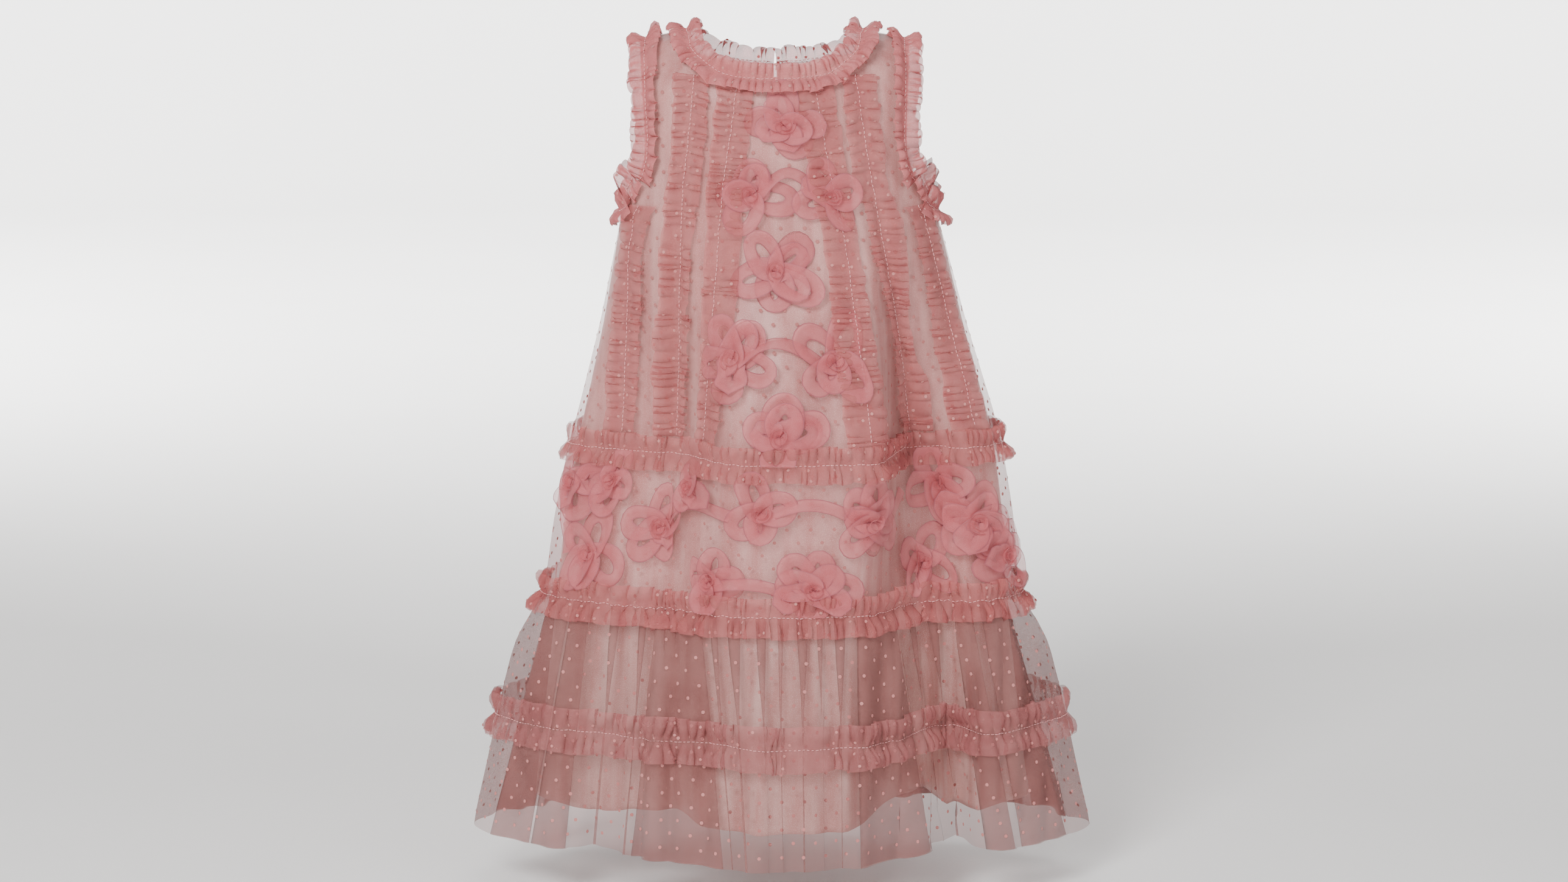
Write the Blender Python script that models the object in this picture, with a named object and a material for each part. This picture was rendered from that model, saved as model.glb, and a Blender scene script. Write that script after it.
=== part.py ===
"""A girl's sleeveless A-line dress: dotted tulle with ruffles and ribbon flowers over a satin lining.

Metres, +Z up, front towards -Y. The origin is between the shoulder seams, where shoulders hold
the dress up. Every cloth piece is a wall between two grids of points. The grids follow the body
sections and the folds in the tables below; `across` runs from -1 at the left side seam to 1 at
the right one, and `level` runs down from 0 at the top edge and is the height below the underarm.
"""
import math
from collections import namedtuple

import bpy
import bmesh
from mathutils import Vector

# Cloth and seams.
WALL = 0.001
SEAM = 0.0003
LAYER_GAP = 0.0005
OUTSIDE = LAYER_GAP + WALL
FRONT = -1
BACK = 1

# Heights of the edges and seams.
UNDERARM = -0.125
ROW_1 = -0.290
ROW_2 = -0.398
ROW_3 = -0.486
TULLE_HEM = -0.568
LINING_HEM = -0.545

# Shoulder, neck and armhole.
NECK_HALF = 0.061
SHOULDER_SLOPE = 0.18
ARCH_HEIGHT = 0.050
NECK_LEVEL = {FRONT: -0.021, BACK: -0.019}
NECK_SCOOP = {FRONT: 0.011, BACK: 0.010}
NECK_LINE = 0.46
PANEL_LINE = 0.22
ARMHOLE_SHARE = 0.61
ARMHOLE_BEND = -0.070
BACK_SLIT = 0.105
SLIT_HALF = 0.0012

# Body sections of the tulle: half width, depth to the front and the back, and roundness.
Section = namedtuple("Section", "level half_width front back roundness")
SECTIONS = (
    Section(0.000, 0.1150, 0.062, 0.056, 2.1),
    Section(-0.050, 0.1115, 0.065, 0.060, 2.1),
    Section(-0.125, 0.1090, 0.071, 0.068, 2.1),
    Section(-0.205, 0.1280, 0.066, 0.077, 1.9),
    Section(-0.290, 0.1520, 0.058, 0.086, 1.75),
    Section(-0.344, 0.1620, 0.067, 0.090, 1.7),
    Section(-0.398, 0.1680, 0.076, 0.096, 1.7),
    Section(-0.433, 0.1890, 0.090, 0.106, 1.65),
    Section(-0.486, 0.2020, 0.103, 0.114, 1.6),
    Section(-0.568, 0.2200, 0.114, 0.125, 1.6),
)

# How far the body hangs to one side.
Sway = namedtuple("Sway", "level x")
SWAYS = (
    Sway(0.000, -0.0050),
    Sway(-0.100, -0.0035),
    Sway(-0.140, -0.0010),
    Sway(-0.200, 0.0010),
    Sway(-0.270, 0.0030),
    Sway(-0.330, 0.0020),
    Sway(-0.400, 0.0000),
)

# How far the lining hangs inside the tulle, at its sides and in front.
Inset = namedtuple("Inset", "level side front")
INSETS = (
    Inset(0.000, 0.0, 0.0),
    Inset(-0.150, 0.0, 0.0),
    Inset(-0.290, 0.010, 0.004),
    Inset(-0.398, 0.014, 0.004),
    Inset(-0.433, 0.026, 0.006),
    Inset(-0.486, 0.033, 0.006),
    Inset(-0.568, 0.041, 0.008),
)

# Seam lines and ruffle lines: x at the top, the neck's corners, chest, first row and hem.
Line = namedtuple("Line", "across top neck chest row_1 hem")
NECK_CORNER = -0.022
CHEST = -0.140
SIDE_LINE = 0.70
FRONT_LINES = (
    Line(-SIDE_LINE, -0.080, -0.083, -0.103, -0.114, -0.160),
    Line(-NECK_LINE, -NECK_HALF, -0.054, -0.067, -0.076, -0.105),
    Line(-PANEL_LINE, -0.024, -0.025, -0.042, -0.056, -0.070),
    Line(PANEL_LINE, 0.024, 0.026, 0.044, 0.060, 0.070),
    Line(NECK_LINE, NECK_HALF, 0.054, 0.070, 0.088, 0.110),
    Line(SIDE_LINE, 0.080, 0.083, 0.104, 0.134, 0.172),
)
BACK_LINES = (
    Line(-NECK_LINE, -NECK_HALF, -0.054, -0.072, -0.090, -0.120),
    Line(NECK_LINE, NECK_HALF, 0.054, 0.070, 0.086, 0.115),
)
OUTERMOST = 0.90
CELLS = {FRONT: (4, 3, 3, 6, 3, 3, 4), BACK: (6, 4, 4, 6)}

# Levels of the grids' rows.
TOP_LEVELS = {
    FRONT: (0.0, -0.004, -0.012, NECK_LEVEL[FRONT], -0.042, -0.068, -0.093, -0.114, UNDERARM),
    BACK: (0.0, -0.004, -0.011, NECK_LEVEL[BACK], -0.042, -0.068, -0.093, -0.114, UNDERARM),
}
BODY_LEVELS = (-0.155, -0.198, -0.243)
LINING_LEVELS = (ROW_1, -0.345, ROW_2, -0.445, -0.496, LINING_HEM)
BAND_LEVELS = (ROW_1 - SEAM / 2, -0.317, -0.344, -0.371, ROW_2 + SEAM / 2)
FLOUNCE_LEVELS = (ROW_2 - SEAM / 2, -0.413, -0.438, -0.470, -0.502, TULLE_HEM)

# Folds: where each one lies, how soft its two flanks are, how it drifts, how far it stands out.
Fold = namedtuple("Fold", "left right soft_left soft_right drift row_1 row_2 row_3 hem")
FOLD_TOP = -0.130
TULLE_FOLDS = {
    FRONT: (
        Fold(-0.054, 0.071, 0.024, 0.012, -0.010, 0.044, 0.021, 0.016, 0.020),
        Fold(0.074, 0.118, 0.012, 0.014, 0.024, -0.022, -0.018, -0.036, -0.036),
        Fold(-0.062, -0.030, 0.014, 0.014, 0.000, 0.000, -0.003, -0.014, -0.004),
        Fold(-0.135, -0.112, 0.014, 0.014, -0.006, 0.000, 0.000, -0.008, -0.026),
        Fold(0.134, 0.172, 0.014, 0.014, 0.002, 0.000, 0.003, 0.014, 0.010),
    ),
    BACK: (
        Fold(-0.055, 0.030, 0.026, 0.022, -0.006, 0.010, 0.012, 0.016, 0.020),
        Fold(-0.112, -0.078, 0.018, 0.016, -0.012, -0.008, -0.012, -0.022, -0.030),
        Fold(0.060, 0.092, 0.016, 0.020, 0.010, -0.006, -0.011, -0.020, -0.027),
    ),
}
LINING_FOLDS = {
    FRONT: (
        Fold(-0.090, -0.064, 0.026, 0.011, 0.000, 0.000, -0.008, -0.026, -0.050),
        Fold(0.060, 0.112, 0.010, 0.014, 0.004, 0.000, -0.010, -0.030, -0.058),
    ),
    BACK: (
        Fold(-0.095, -0.070, 0.012, 0.012, 0.000, 0.000, -0.006, -0.014, -0.026),
        Fold(0.055, 0.080, 0.012, 0.012, 0.000, 0.000, -0.006, -0.016, -0.030),
    ),
}

# Gathers of the flounce, and the waves of each ruffle.
FLOUNCE_GATHERS = {FRONT: 9, BACK: 7}
GATHER_DEPTH = 0.0030
STITCHED_HALF = 0.017
GATHER_RUN = 0.020
Row = namedtuple("Row", "level half_height lift front_waves back_waves")
ROWS = (
    Row(ROW_1, 0.0125, 0.0085, 18, 14),
    Row(ROW_2, 0.0135, 0.0105, 18, 14),
    Row(ROW_3, 0.0155, 0.0085, 18, 14),
)
Upright = namedtuple("Upright", "name across start waves")
UPRIGHTS = (
    Upright("ruffle_far_left", -SIDE_LINE, -0.128, 6),
    Upright("ruffle_mid_left", -NECK_LINE, -0.044, 9),
    Upright("ruffle_inner_left", -PANEL_LINE, -0.033, 10),
    Upright("ruffle_inner_right", PANEL_LINE, -0.033, 10),
    Upright("ruffle_mid_right", NECK_LINE, -0.044, 9),
    Upright("ruffle_far_right", SIDE_LINE, -0.128, 6),
)
UPRIGHT_HALF = 0.0110
UPRIGHT_LIFT = 0.0060
UPRIGHT_END = ROW_1 + 0.0155
ACROSS_STEP = 0.004
EDGE_OUT = 0.0105
EDGE_IN = 0.0085
EDGE_LIFT = 0.0042
NECK_WAVES = 15
ARMHOLE_WAVES = 11
LOW_LIFT = 0.0012
EDGE_LOW_LIFT = 0.0030
SHOULDER_STAND = 0.0070
INSIDE_ACROSS = 0.05
INSIDE_DOWN = -0.008
SLIT_ACROSS = 0.012

# Ribbon flowers: place on the cloth and radius.
Flower = namedtuple("Flower", "across level radius turn")
FLOWER_HEIGHT = 0.0050
FLOWER_CLEAR = 0.013
PETALS = 5
PANEL_FLOWERS = (
    Flower(0.02, -0.048, 0.020, 0.2),
    Flower(-0.10, -0.097, 0.021, 0.9),
    Flower(0.11, -0.101, 0.020, 0.4),
    Flower(-0.01, -0.152, 0.031, 0.0),
    Flower(-0.11, -0.213, 0.026, 0.7),
    Flower(0.12, -0.217, 0.025, 0.3),
    Flower(0.00, -0.262, 0.023, 1.1),
)
PANEL_FINER = 4
BAND_UPPER = ROW_1 - 0.033
BAND_LOWER = ROW_2 + 0.033
BAND_REACH = 0.9
BAND_RADIUS = 0.025
BAND_SMALLER = 0.020
BAND_COUNT = {FRONT: 9, BACK: 8}

# Button at the back neck.
BUTTON_RADIUS = 0.0045
BUTTON_THICKNESS = 0.0025
BUTTON_LEVEL = -0.036

TULLE = ("tulle", "#C08482", 0.85)
RUFFLE = ("ruffle_tulle", "#BC7F7D", 0.85)
SATIN = ("lining_satin", "#CFA39F", 0.45)
PEARL = ("button_shell", "#E3C4BF", 0.30)


def linear(hex_colour):
    """Linear RGBA of an sRGB hex colour."""
    parts = [int(hex_colour[i:i + 2], 16) / 255 for i in (1, 3, 5)]
    return [v / 12.92 if v <= 0.04045 else ((v + 0.055) / 1.055) ** 2.4 for v in parts] + [1.0]


def smooth_step(t):
    t = min(max(t, 0.0), 1.0)
    return t * t * (3 - 2 * t)


def read_table(table, level, column):
    """Value of a column at a level, between the table's lines; the table runs downwards."""
    if level >= table[0].level:
        return getattr(table[0], column)
    for above, below in zip(table, table[1:]):
        if level >= below.level:
            t = (above.level - level) / (above.level - below.level)
            start, end = getattr(above, column), getattr(below, column)
            return start + (end - start) * t
    return getattr(table[-1], column)


def shoulder_line(x):
    return -SHOULDER_SLOPE * max(0.0, abs(x) - NECK_HALF)


def panel_half(level):
    """Half width of the panels, which is cut in by the armhole above the underarm."""
    half = read_table(SECTIONS, level, "half_width")
    if level <= UNDERARM:
        return half
    share = ARMHOLE_SHARE
    if level < ARMHOLE_BEND:
        drop = (ARMHOLE_BEND - level) / (ARMHOLE_BEND - UNDERARM)
        share *= math.sqrt(max(0.0, 1 - drop * drop))
    power = read_table(SECTIONS, level, "roundness")
    return half * (1 - share ** power) ** (1 / power)


def line_x(line, level):
    """x of a seam line at a level; no line comes nearer the panels' edge than OUTERMOST."""
    stops = (
        (0.0, line.top), (NECK_CORNER, line.neck), (CHEST, line.chest),
        (ROW_1, line.row_1), (TULLE_HEM, line.hem),
    )
    limit = OUTERMOST * panel_half(level)
    for (z0, x0), (z1, x1) in zip(stops, stops[1:]):
        if level >= z1:
            x = x0 + (x1 - x0) * (z0 - level) / (z0 - z1)
            return min(max(x, -limit), limit)
    return line.hem


def column_x(side, across, level):
    """x of a column: its angle is shared out between the seam lines on both sides of it."""
    half = panel_half(level)
    lines = FRONT_LINES if side == FRONT else BACK_LINES
    stops = [(-1.0, -math.pi / 2)]
    stops += [(line.across, math.asin(line_x(line, level) / half)) for line in lines]
    stops += [(1.0, math.pi / 2)]
    for (c0, a0), (c1, a1) in zip(stops, stops[1:]):
        if across <= c1:
            return half * math.sin(a0 + (a1 - a0) * (across - c0) / (c1 - c0))
    return half


def fold_depth(folds, x, z):
    """How far the folds stand out at a place."""
    stops = ("row_1", "row_2", "row_3", "hem")
    levels = (ROW_1, ROW_2, ROW_3, TULLE_HEM)
    total = 0.0
    for fold in folds:
        amounts = [0.0] + [getattr(fold, name) for name in stops]
        heights = [FOLD_TOP] + list(levels)
        if z >= FOLD_TOP:
            continue
        amount = amounts[-1]
        for i in range(len(levels)):
            if z >= heights[i + 1]:
                t = smooth_step((heights[i] - z) / (heights[i] - heights[i + 1]))
                amount = amounts[i] + (amounts[i + 1] - amounts[i]) * t
                break
        shift = fold.drift * min(1.0, max(0.0, (ROW_1 - z) / (ROW_1 - TULLE_HEM)))
        rise = smooth_step((x - fold.left - shift + fold.soft_left) / (2 * fold.soft_left))
        fall = smooth_step((fold.right + shift + fold.soft_right - x) / (2 * fold.soft_right))
        total += amount * rise * fall
    return total


def tulle_depth(side, x, z):
    """Distance of the tulle from the side plane at x."""
    half = read_table(SECTIONS, z, "half_width")
    power = read_table(SECTIONS, z, "roundness")
    depth = read_table(SECTIONS, z, "front" if side == FRONT else "back")
    share = min(abs(x) / half, 1.0)
    arch = min(max((shoulder_line(x) - z) / ARCH_HEIGHT, 0.0), 1.0)
    depth *= math.sqrt(1 - (1 - arch) ** 2)
    side_fade = 1 - share ** 6
    return depth * (1 - share ** power) ** (1 / power) + side_fade * fold_depth(TULLE_FOLDS[side], x, z)


def lining_depth(side, x, z):
    """The lining follows the tulle, narrower, with deeper valleys, and never comes through it."""
    half = read_table(SECTIONS, z, "half_width")
    scale = 1 - read_table(INSETS, z, "side") / half
    behind = read_table(INSETS, z, "front")
    own = tulle_depth(side, x / scale, z)
    share = min(abs(x) / (half * scale), 1.0)
    own += (1 - share ** 6) * fold_depth(LINING_FOLDS[side], x, z)
    outer = tulle_depth(side, x, z)
    return min(own - behind * min(1.0, own / 0.03), outer - behind * min(1.0, outer / 0.03))


def edge_height(side, across, level):
    """Height of a column at a level: the slope of the shoulder and the scoop fade out downwards."""
    fade = min(max(1 - level / UNDERARM, 0.0), 1.0)
    x = column_x(side, across, 0.0)
    scoop = NECK_SCOOP[side] * max(0.0, 1 - (x / NECK_HALF) ** 2)
    return level + fade * (shoulder_line(x) - scoop)


def tulle_place(side):
    def place(across, level):
        x = column_x(side, across, level)
        z = edge_height(side, across, level)
        depth = tulle_depth(side, x, z) + SEAM / 2
        return Vector((x + read_table(SWAYS, z, "x"), side * depth, z))
    return place


def lining_place(side):
    def place(across, level):
        z = edge_height(side, across, level)
        scale = 1 - read_table(INSETS, z, "side") / read_table(SECTIONS, z, "half_width")
        x = column_x(side, across, level) * scale
        depth = lining_depth(side, x, z) + SEAM / 2
        return Vector((x + read_table(SWAYS, z, "x"), side * depth, z))
    return place


def gather(side, across, level):
    """How far the gathers of the flounce stand out; they lie flat where a ruffle is stitched on."""
    away = min(abs(level - ROW_2), abs(level - ROW_3)) - STITCHED_HALF
    size = GATHER_DEPTH * smooth_step(away / GATHER_RUN) * (1 - across ** 8)
    wave = math.sin(across * FLOUNCE_GATHERS[side] * math.pi + 0.6 * math.sin(5 * across))
    return size * (1 + wave)


class Cloth:
    """A grid of points over one side of the body, with the outward direction at each point."""

    def __init__(self, side, levels, place, flat_rows=()):
        lines = FRONT_LINES if side == FRONT else BACK_LINES
        stops = [-1.0] + [line.across for line in lines] + [1.0]
        if side == BACK:
            stops.insert(2, 0.0)
        self.side = side
        self.levels = levels
        self.columns = spread(stops, CELLS[side])
        self.points = [[place(c, level) for c in self.columns] for level in levels]
        self.normals = self.outward(flat_rows)

    def outward(self, flat_rows):
        rows, cols = len(self.levels), len(self.columns)
        normals = []
        for i in range(rows):
            line = []
            for j in range(cols):
                along = self.points[i][min(j + 1, cols - 1)] - self.points[i][max(j - 1, 0)]
                down = self.points[min(i + 1, rows - 1)][j] - self.points[max(i - 1, 0)][j]
                normal = down.cross(along) * -self.side
                at_side = abs(self.columns[j]) == 1.0 and self.levels[i] <= UNDERARM
                if at_side or self.levels[i] == 0.0:
                    normal.y = 0.0
                if self.columns[j] == 0.0 and self.side == BACK:
                    normal.x = 0.0
                if self.levels[i] in flat_rows:
                    normal.z = 0.0
                line.append(normal.normalized())
            normals.append(line)
        return normals

    def at(self, across, level):
        """Point and outward direction at a place between the grid's points, on its triangles."""
        i = max(k for k in range(len(self.levels) - 1) if self.levels[k] >= level or k == 0)
        j = max(k for k in range(len(self.columns) - 1) if self.columns[k] <= across or k == 0)
        t = (self.levels[i] - level) / (self.levels[i] - self.levels[i + 1])
        s = (across - self.columns[j]) / (self.columns[j + 1] - self.columns[j])
        found = []
        for grid in (self.points, self.normals):
            a, b = grid[i][j], grid[i][j + 1]
            c, d = grid[i + 1][j], grid[i + 1][j + 1]
            if s >= t:
                found.append(a + (b - a) * s + (d - b) * t)
            else:
                found.append(a + (c - a) * t + (d - c) * s)
        return found[0], found[1].normalized()

    def moved(self, distance, cols=None):
        """The grid, or some of its columns, moved out by a distance."""
        cols = cols or range(len(self.columns))
        return [[p[j] + n[j] * distance for j in cols] for p, n in zip(self.points, self.normals)]

    def below_neck(self, i, j):
        """Whether a cell is cloth: above the neck edge only the shoulder straps are."""
        in_strap = self.columns[j] >= NECK_LINE or self.columns[j + 1] <= -NECK_LINE
        return in_strap or self.levels[i] <= NECK_LEVEL[self.side]


def subdivide(values, times):
    fine = []
    for a, b in zip(values, values[1:]):
        fine += [a + (b - a) * k / times for k in range(times)]
    return fine + [values[-1]]


def spread(stops, counts):
    """Columns between stops, a count of cells in each stretch."""
    columns = []
    for (a, b), count in zip(zip(stops, stops[1:]), counts):
        columns += [a + (b - a) * k / count for k in range(count)]
    return columns + [stops[-1]]


def wall(name, inner, outer, look, closed=False, present=None):
    """One closed piece of cloth between two grids of points, over the cells that are present.

    closed joins the last row to the first.
    """
    rows, cols = len(inner), len(inner[0])
    bm = bmesh.new()
    low = [[bm.verts.new(p) for p in row] for row in inner]
    high = [[bm.verts.new(p) for p in row] for row in outer]
    borders = {}
    for i in range(rows if closed else rows - 1):
        n = (i + 1) % rows
        for j in range(cols - 1):
            if present and not present(i, j):
                continue
            for g in (low, high):
                bm.faces.new((g[i][j], g[i][j + 1], g[n][j + 1]))
                bm.faces.new((g[i][j], g[n][j + 1], g[n][j]))
            corners = ((i, j), (i, j + 1), (n, j + 1), (n, j))
            for start, end in zip(corners, corners[1:] + corners[:1]):
                key = frozenset((start, end))
                borders[key] = None if key in borders else (start, end)
    for (i, j), (k, m) in filter(None, borders.values()):
        bm.faces.new((low[i][j], low[k][m], high[k][m], high[i][j]))
    bmesh.ops.delete(bm, geom=[v for v in bm.verts if not v.link_faces], context="VERTS")
    bmesh.ops.recalc_face_normals(bm, faces=bm.faces)
    mesh = bpy.data.meshes.new(name)
    bm.to_mesh(mesh)
    bm.free()
    return add_piece(name, mesh, look)


def add_piece(name, mesh, look):
    piece = bpy.data.objects.new(name, mesh)
    collection.objects.link(piece)
    slot, colour, roughness = look
    material = bpy.data.materials.new(name + "_" + slot)
    material.use_nodes = True
    shader = material.node_tree.nodes["Principled BSDF"]
    shader.inputs["Base Color"].default_value = linear(colour)
    shader.inputs["Roughness"].default_value = roughness
    mesh.materials.append(material)
    return piece


def flower_height(cloth, point, flower):
    """How high a ribbon flower stands at a point of the cloth."""
    centre, normal = cloth.at(flower.across, flower.level)
    away = point - centre
    along = Vector((-normal.y, normal.x, 0.0)).normalized()
    distance = away.length
    angle = math.atan2(away.z, away.dot(along)) + flower.turn
    reach = flower.radius * (0.72 + 0.28 * math.cos(PETALS * angle))
    if distance >= reach:
        return 0.0
    share = distance / reach
    return FLOWER_HEIGHT * (1 - share ** 4) * (0.7 + 0.3 * math.cos(2 * math.pi * share))


def raised(cloth, levels, columns, flowers, clear):
    """Inner and outer grids of a panel whose outside carries flowers.

    clear(point, across, level) is the distance to the nearest ruffle's stitching.
    """
    inner, outer = [], []
    for level in levels:
        inner.append([])
        outer.append([])
        for across in columns:
            point, normal = cloth.at(across, level)
            height = max([flower_height(cloth, point, f) for f in flowers] + [0.0])
            height *= smooth_step((clear(point, across, level) - FLOWER_CLEAR) / (FLOWER_CLEAR / 2))
            inner[-1].append(point + normal * LAYER_GAP)
            outer[-1].append(point + normal * (OUTSIDE + height))
    return inner, outer


def with_middles(places, point_at, count):
    """Places with middles added to the longest stretches, until there are count stretches."""
    places = list(places)
    while len(places) <= count:
        points = [point_at(place) for place in places]
        gaps = [(b - a).length for a, b in zip(points, points[1:])]
        k = gaps.index(max(gaps))
        places.insert(k + 1, (places[k] + places[k + 1]) / 2)
    return places


def ruffle_strip(name, lines, closed=False):
    """A gathered strip: each line gives its points and outward directions across the strip."""
    inner = [[point for point, _ in line] for line in lines]
    outer = [[point + normal * WALL for point, normal in line] for line in lines]
    return wall(name, inner, outer, RUFFLE, closed)


def build_lining():
    lower = BODY_LEVELS + LINING_LEVELS
    front = Cloth(FRONT, TOP_LEVELS[FRONT] + lower, lining_place(FRONT))
    wall("lining_front", front.moved(-WALL), front.moved(0.0), SATIN, present=front.below_neck)
    back = Cloth(BACK, TOP_LEVELS[BACK] + lower, lining_place(BACK))
    build_back_halves(back, ("lining_back_left", "lining_back_right"), -WALL, 0.0, SATIN)


def build_back_halves(cloth, names, inner_move, outer_move, look):
    """The back in two halves, with the slit of the opening at the top of the seam between them."""
    middle = cloth.columns.index(0.0)
    ranges = (range(0, middle + 1), range(middle, len(cloth.columns)))
    for name, cols, sign in zip(names, ranges, (-1, 1)):
        grids = [cloth.moved(d, cols) for d in (inner_move, outer_move)]
        edge = -1 if sign < 0 else 0
        for grid in grids:
            for row in grid:
                down = min(max(-row[edge].z / BACK_SLIT, 0.0), 1.0)
                gap = SEAM / 2 + SLIT_HALF * math.sin(math.pi * down)
                row[edge].x = read_table(SWAYS, row[edge].z, "x") + sign * gap
        wall(name, *grids, look, present=lambda i, j, first=cols[0]: cloth.below_neck(i, j + first))


def build_overlay():
    lower = BODY_LEVELS + (ROW_1 + SEAM / 2,)
    front = Cloth(FRONT, TOP_LEVELS[FRONT] + lower, tulle_place(FRONT), lower[-1:])
    first, last = front.columns.index(-PANEL_LINE), front.columns.index(PANEL_LINE)
    sides = (
        ("side_front_left", range(0, first + 1), -1, -1),
        ("side_front_right", range(last, len(front.columns)), 0, 1),
    )
    for name, cols, edge, sign in sides:
        grids = [front.moved(d, cols) for d in (LAYER_GAP, OUTSIDE)]
        for grid in grids:
            for row in grid:
                row[edge].x += sign * SEAM / 2
        wall(name, *grids, TULLE, present=lambda i, j, start=cols[0]: front.below_neck(i, j + start))

    def clear(point, across, level):
        line = PANEL_LINE if across > 0 else -PANEL_LINE
        sideways = (point - front.at(line, level)[0]).length
        return min(sideways, level - ROW_1, NECK_LEVEL[FRONT] - level)

    rows = subdivide(front.levels[front.levels.index(NECK_LEVEL[FRONT]):], PANEL_FINER)
    columns = subdivide(front.columns[first:last + 1], 2)
    inner, outer = raised(front, rows, columns, PANEL_FLOWERS, clear)
    for grid in (inner, outer):
        for row in grid:
            row[0].x += SEAM / 2
            row[-1].x -= SEAM / 2
    wall("centre_panel", inner, outer, TULLE)
    back = Cloth(BACK, TOP_LEVELS[BACK] + lower, tulle_place(BACK), lower[-1:])
    build_back_halves(back, ("back_left", "back_right"), LAYER_GAP, OUTSIDE, TULLE)
    return front, back


def build_band(side, name):
    levels = BAND_LEVELS
    cloth = Cloth(side, levels, tulle_place(side), (levels[0], levels[-1]))
    count = BAND_COUNT[side]
    flowers = []
    for k in range(count):
        across = BAND_REACH * (2 * k / (count - 1) - 1)
        level, other = (BAND_UPPER, BAND_LOWER) if k % 2 == 0 else (BAND_LOWER, BAND_UPPER)
        flowers.append(Flower(across, level, BAND_RADIUS, 0.8 * k))
        if 0 < k < count - 1:
            flowers.append(Flower(across, other, BAND_SMALLER, 0.5 * k))

    def clear(point, across, level):
        return min(ROW_1 - level, level - ROW_2)

    rows, columns = subdivide(levels, 2), subdivide(cloth.columns, 2)
    wall(name, *raised(cloth, rows, columns, flowers, clear), TULLE)
    return cloth


def build_flounce(side, name):
    cloth = Cloth(side, FLOUNCE_LEVELS, tulle_place(side), FLOUNCE_LEVELS[:1])
    inner, outer = [], []
    for level in FLOUNCE_LEVELS:
        places = [(c, *cloth.at(c, level)) for c in subdivide(cloth.columns, 2)]
        inner.append([p + n * (LAYER_GAP + gather(side, c, level)) for c, p, n in places])
        outer.append([p + n * (OUTSIDE + gather(side, c, level)) for c, p, n in places])
    wall(name, inner, outer, TULLE)
    return cloth


def clear_lift(cloth, start, end):
    """Extra lift that keeps a straight strip between two places of the cloth off its outside."""
    (c0, l0), (c1, l1) = start, end
    middle, normal = cloth.at((c0 + c1) / 2, (l0 + l1) / 2)
    chord = (cloth.at(c0, l0)[0] + cloth.at(c1, l1)[0]) / 2
    return 2 * max(0.0, (middle - chord).dot(normal))


def build_row(name, row, above, below, waves):
    """A double-edged ruffle round half the skirt, stitched along its middle."""
    base = OUTSIDE + LAYER_GAP
    places = with_middles(below.columns, lambda c: below.at(c, row.level)[0], 2 * waves)
    lines = []
    for k, across in enumerate(places):
        lift = row.lift if k % 2 else LOW_LIFT
        line = []
        for cloth, offset in ((above, row.half_height), (below, 0.0), (below, -row.half_height)):
            point, normal = cloth.at(across, row.level + offset)
            out = base if offset == 0.0 else base + lift
            line.append((point + normal * out, normal))
        lines.append(line)
    ruffle_strip(name, lines)


def build_upright(upright, cloth):
    """A double-edged ruffle down the front, stitched along its middle."""
    base = OUTSIDE + LAYER_GAP
    between = [v for v in cloth.levels if UPRIGHT_END < v < upright.start]
    places = with_middles(
        [upright.start] + between + [UPRIGHT_END],
        lambda v: cloth.at(upright.across, v)[0], 2 * upright.waves)
    lines = []
    for k, level in enumerate(places):
        lift = UPRIGHT_LIFT if k % 2 else LOW_LIFT
        point, normal = cloth.at(upright.across, level)
        line = [(point + normal * base, normal)]
        for offset in (-1, 1):
            across = upright.across + offset * across_for(cloth, upright.across, level, offset)
            extra = clear_lift(cloth, (upright.across, level), (across, level))
            point, normal = cloth.at(across, level)
            edge = (point + normal * (base + lift + extra), normal)
            line.insert(0 if offset < 0 else 2, edge)
        lines.append(line)
    ruffle_strip(upright.name, lines)


def across_for(cloth, across, level, offset):
    """Step in across that moves a ruffle's half width over the cloth."""
    start = cloth.at(across, level)[0]
    step = 0.0
    while (cloth.at(across + offset * step, level)[0] - start).length < UPRIGHT_HALF:
        step += ACROSS_STEP
    return step


def edge_ruffle(name, stations, waves, closed):
    """A double-edged ruffle along an edge of the cloth.

    A station is a point on the edge, the outward direction and a point inside the cloth.
    """
    base = OUTSIDE + LAYER_GAP
    stations = list(stations)
    while len(stations) < 2 * waves + (0 if closed else 1):
        following = stations[1:] + (stations[:1] if closed else [])
        gaps = [(b[0] - a[0]).length for a, b in zip(stations, following)]
        k = gaps.index(max(gaps))
        pair = (stations[k], following[k])
        stations.insert(k + 1, tuple(a.lerp(b, 0.5) for a, b in zip(*pair)))
    count = len(stations)
    lines = []
    for k, (point, normal, within) in enumerate(stations):
        normal = normal.normalized()
        before = stations[k - 1][0] if closed or k > 0 else point
        after = stations[(k + 1) % count][0] if closed or k < count - 1 else point
        tangent = (after - before).normalized()
        off = point - within
        off -= tangent * off.dot(tangent)
        off -= normal * off.dot(normal)
        off.normalize()
        lift = EDGE_LIFT * (1 - normal.x ** 4) if k % 2 else 0.0
        stand = SHOULDER_STAND * max(normal.z, 0.0) ** 2
        low, high = EDGE_LOW_LIFT + stand / 2 + lift, stand - EDGE_LIFT / 2 + lift
        lines.append([
            (point - off * EDGE_IN + normal * (base + low), normal),
            (point + normal * base, normal),
            (point + off * EDGE_OUT + normal * (base + high), normal),
        ])
    ruffle_strip(name, lines, closed)


def stations_along(cloth, places, inside):
    """Stations at places (across, level) of a cloth; inside is the same step into it for all."""
    found = []
    for across, level in places:
        point, normal = cloth.at(across, level)
        found.append((point, normal, cloth.at(across + inside[0], level + inside[1])[0]))
    return found


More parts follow.
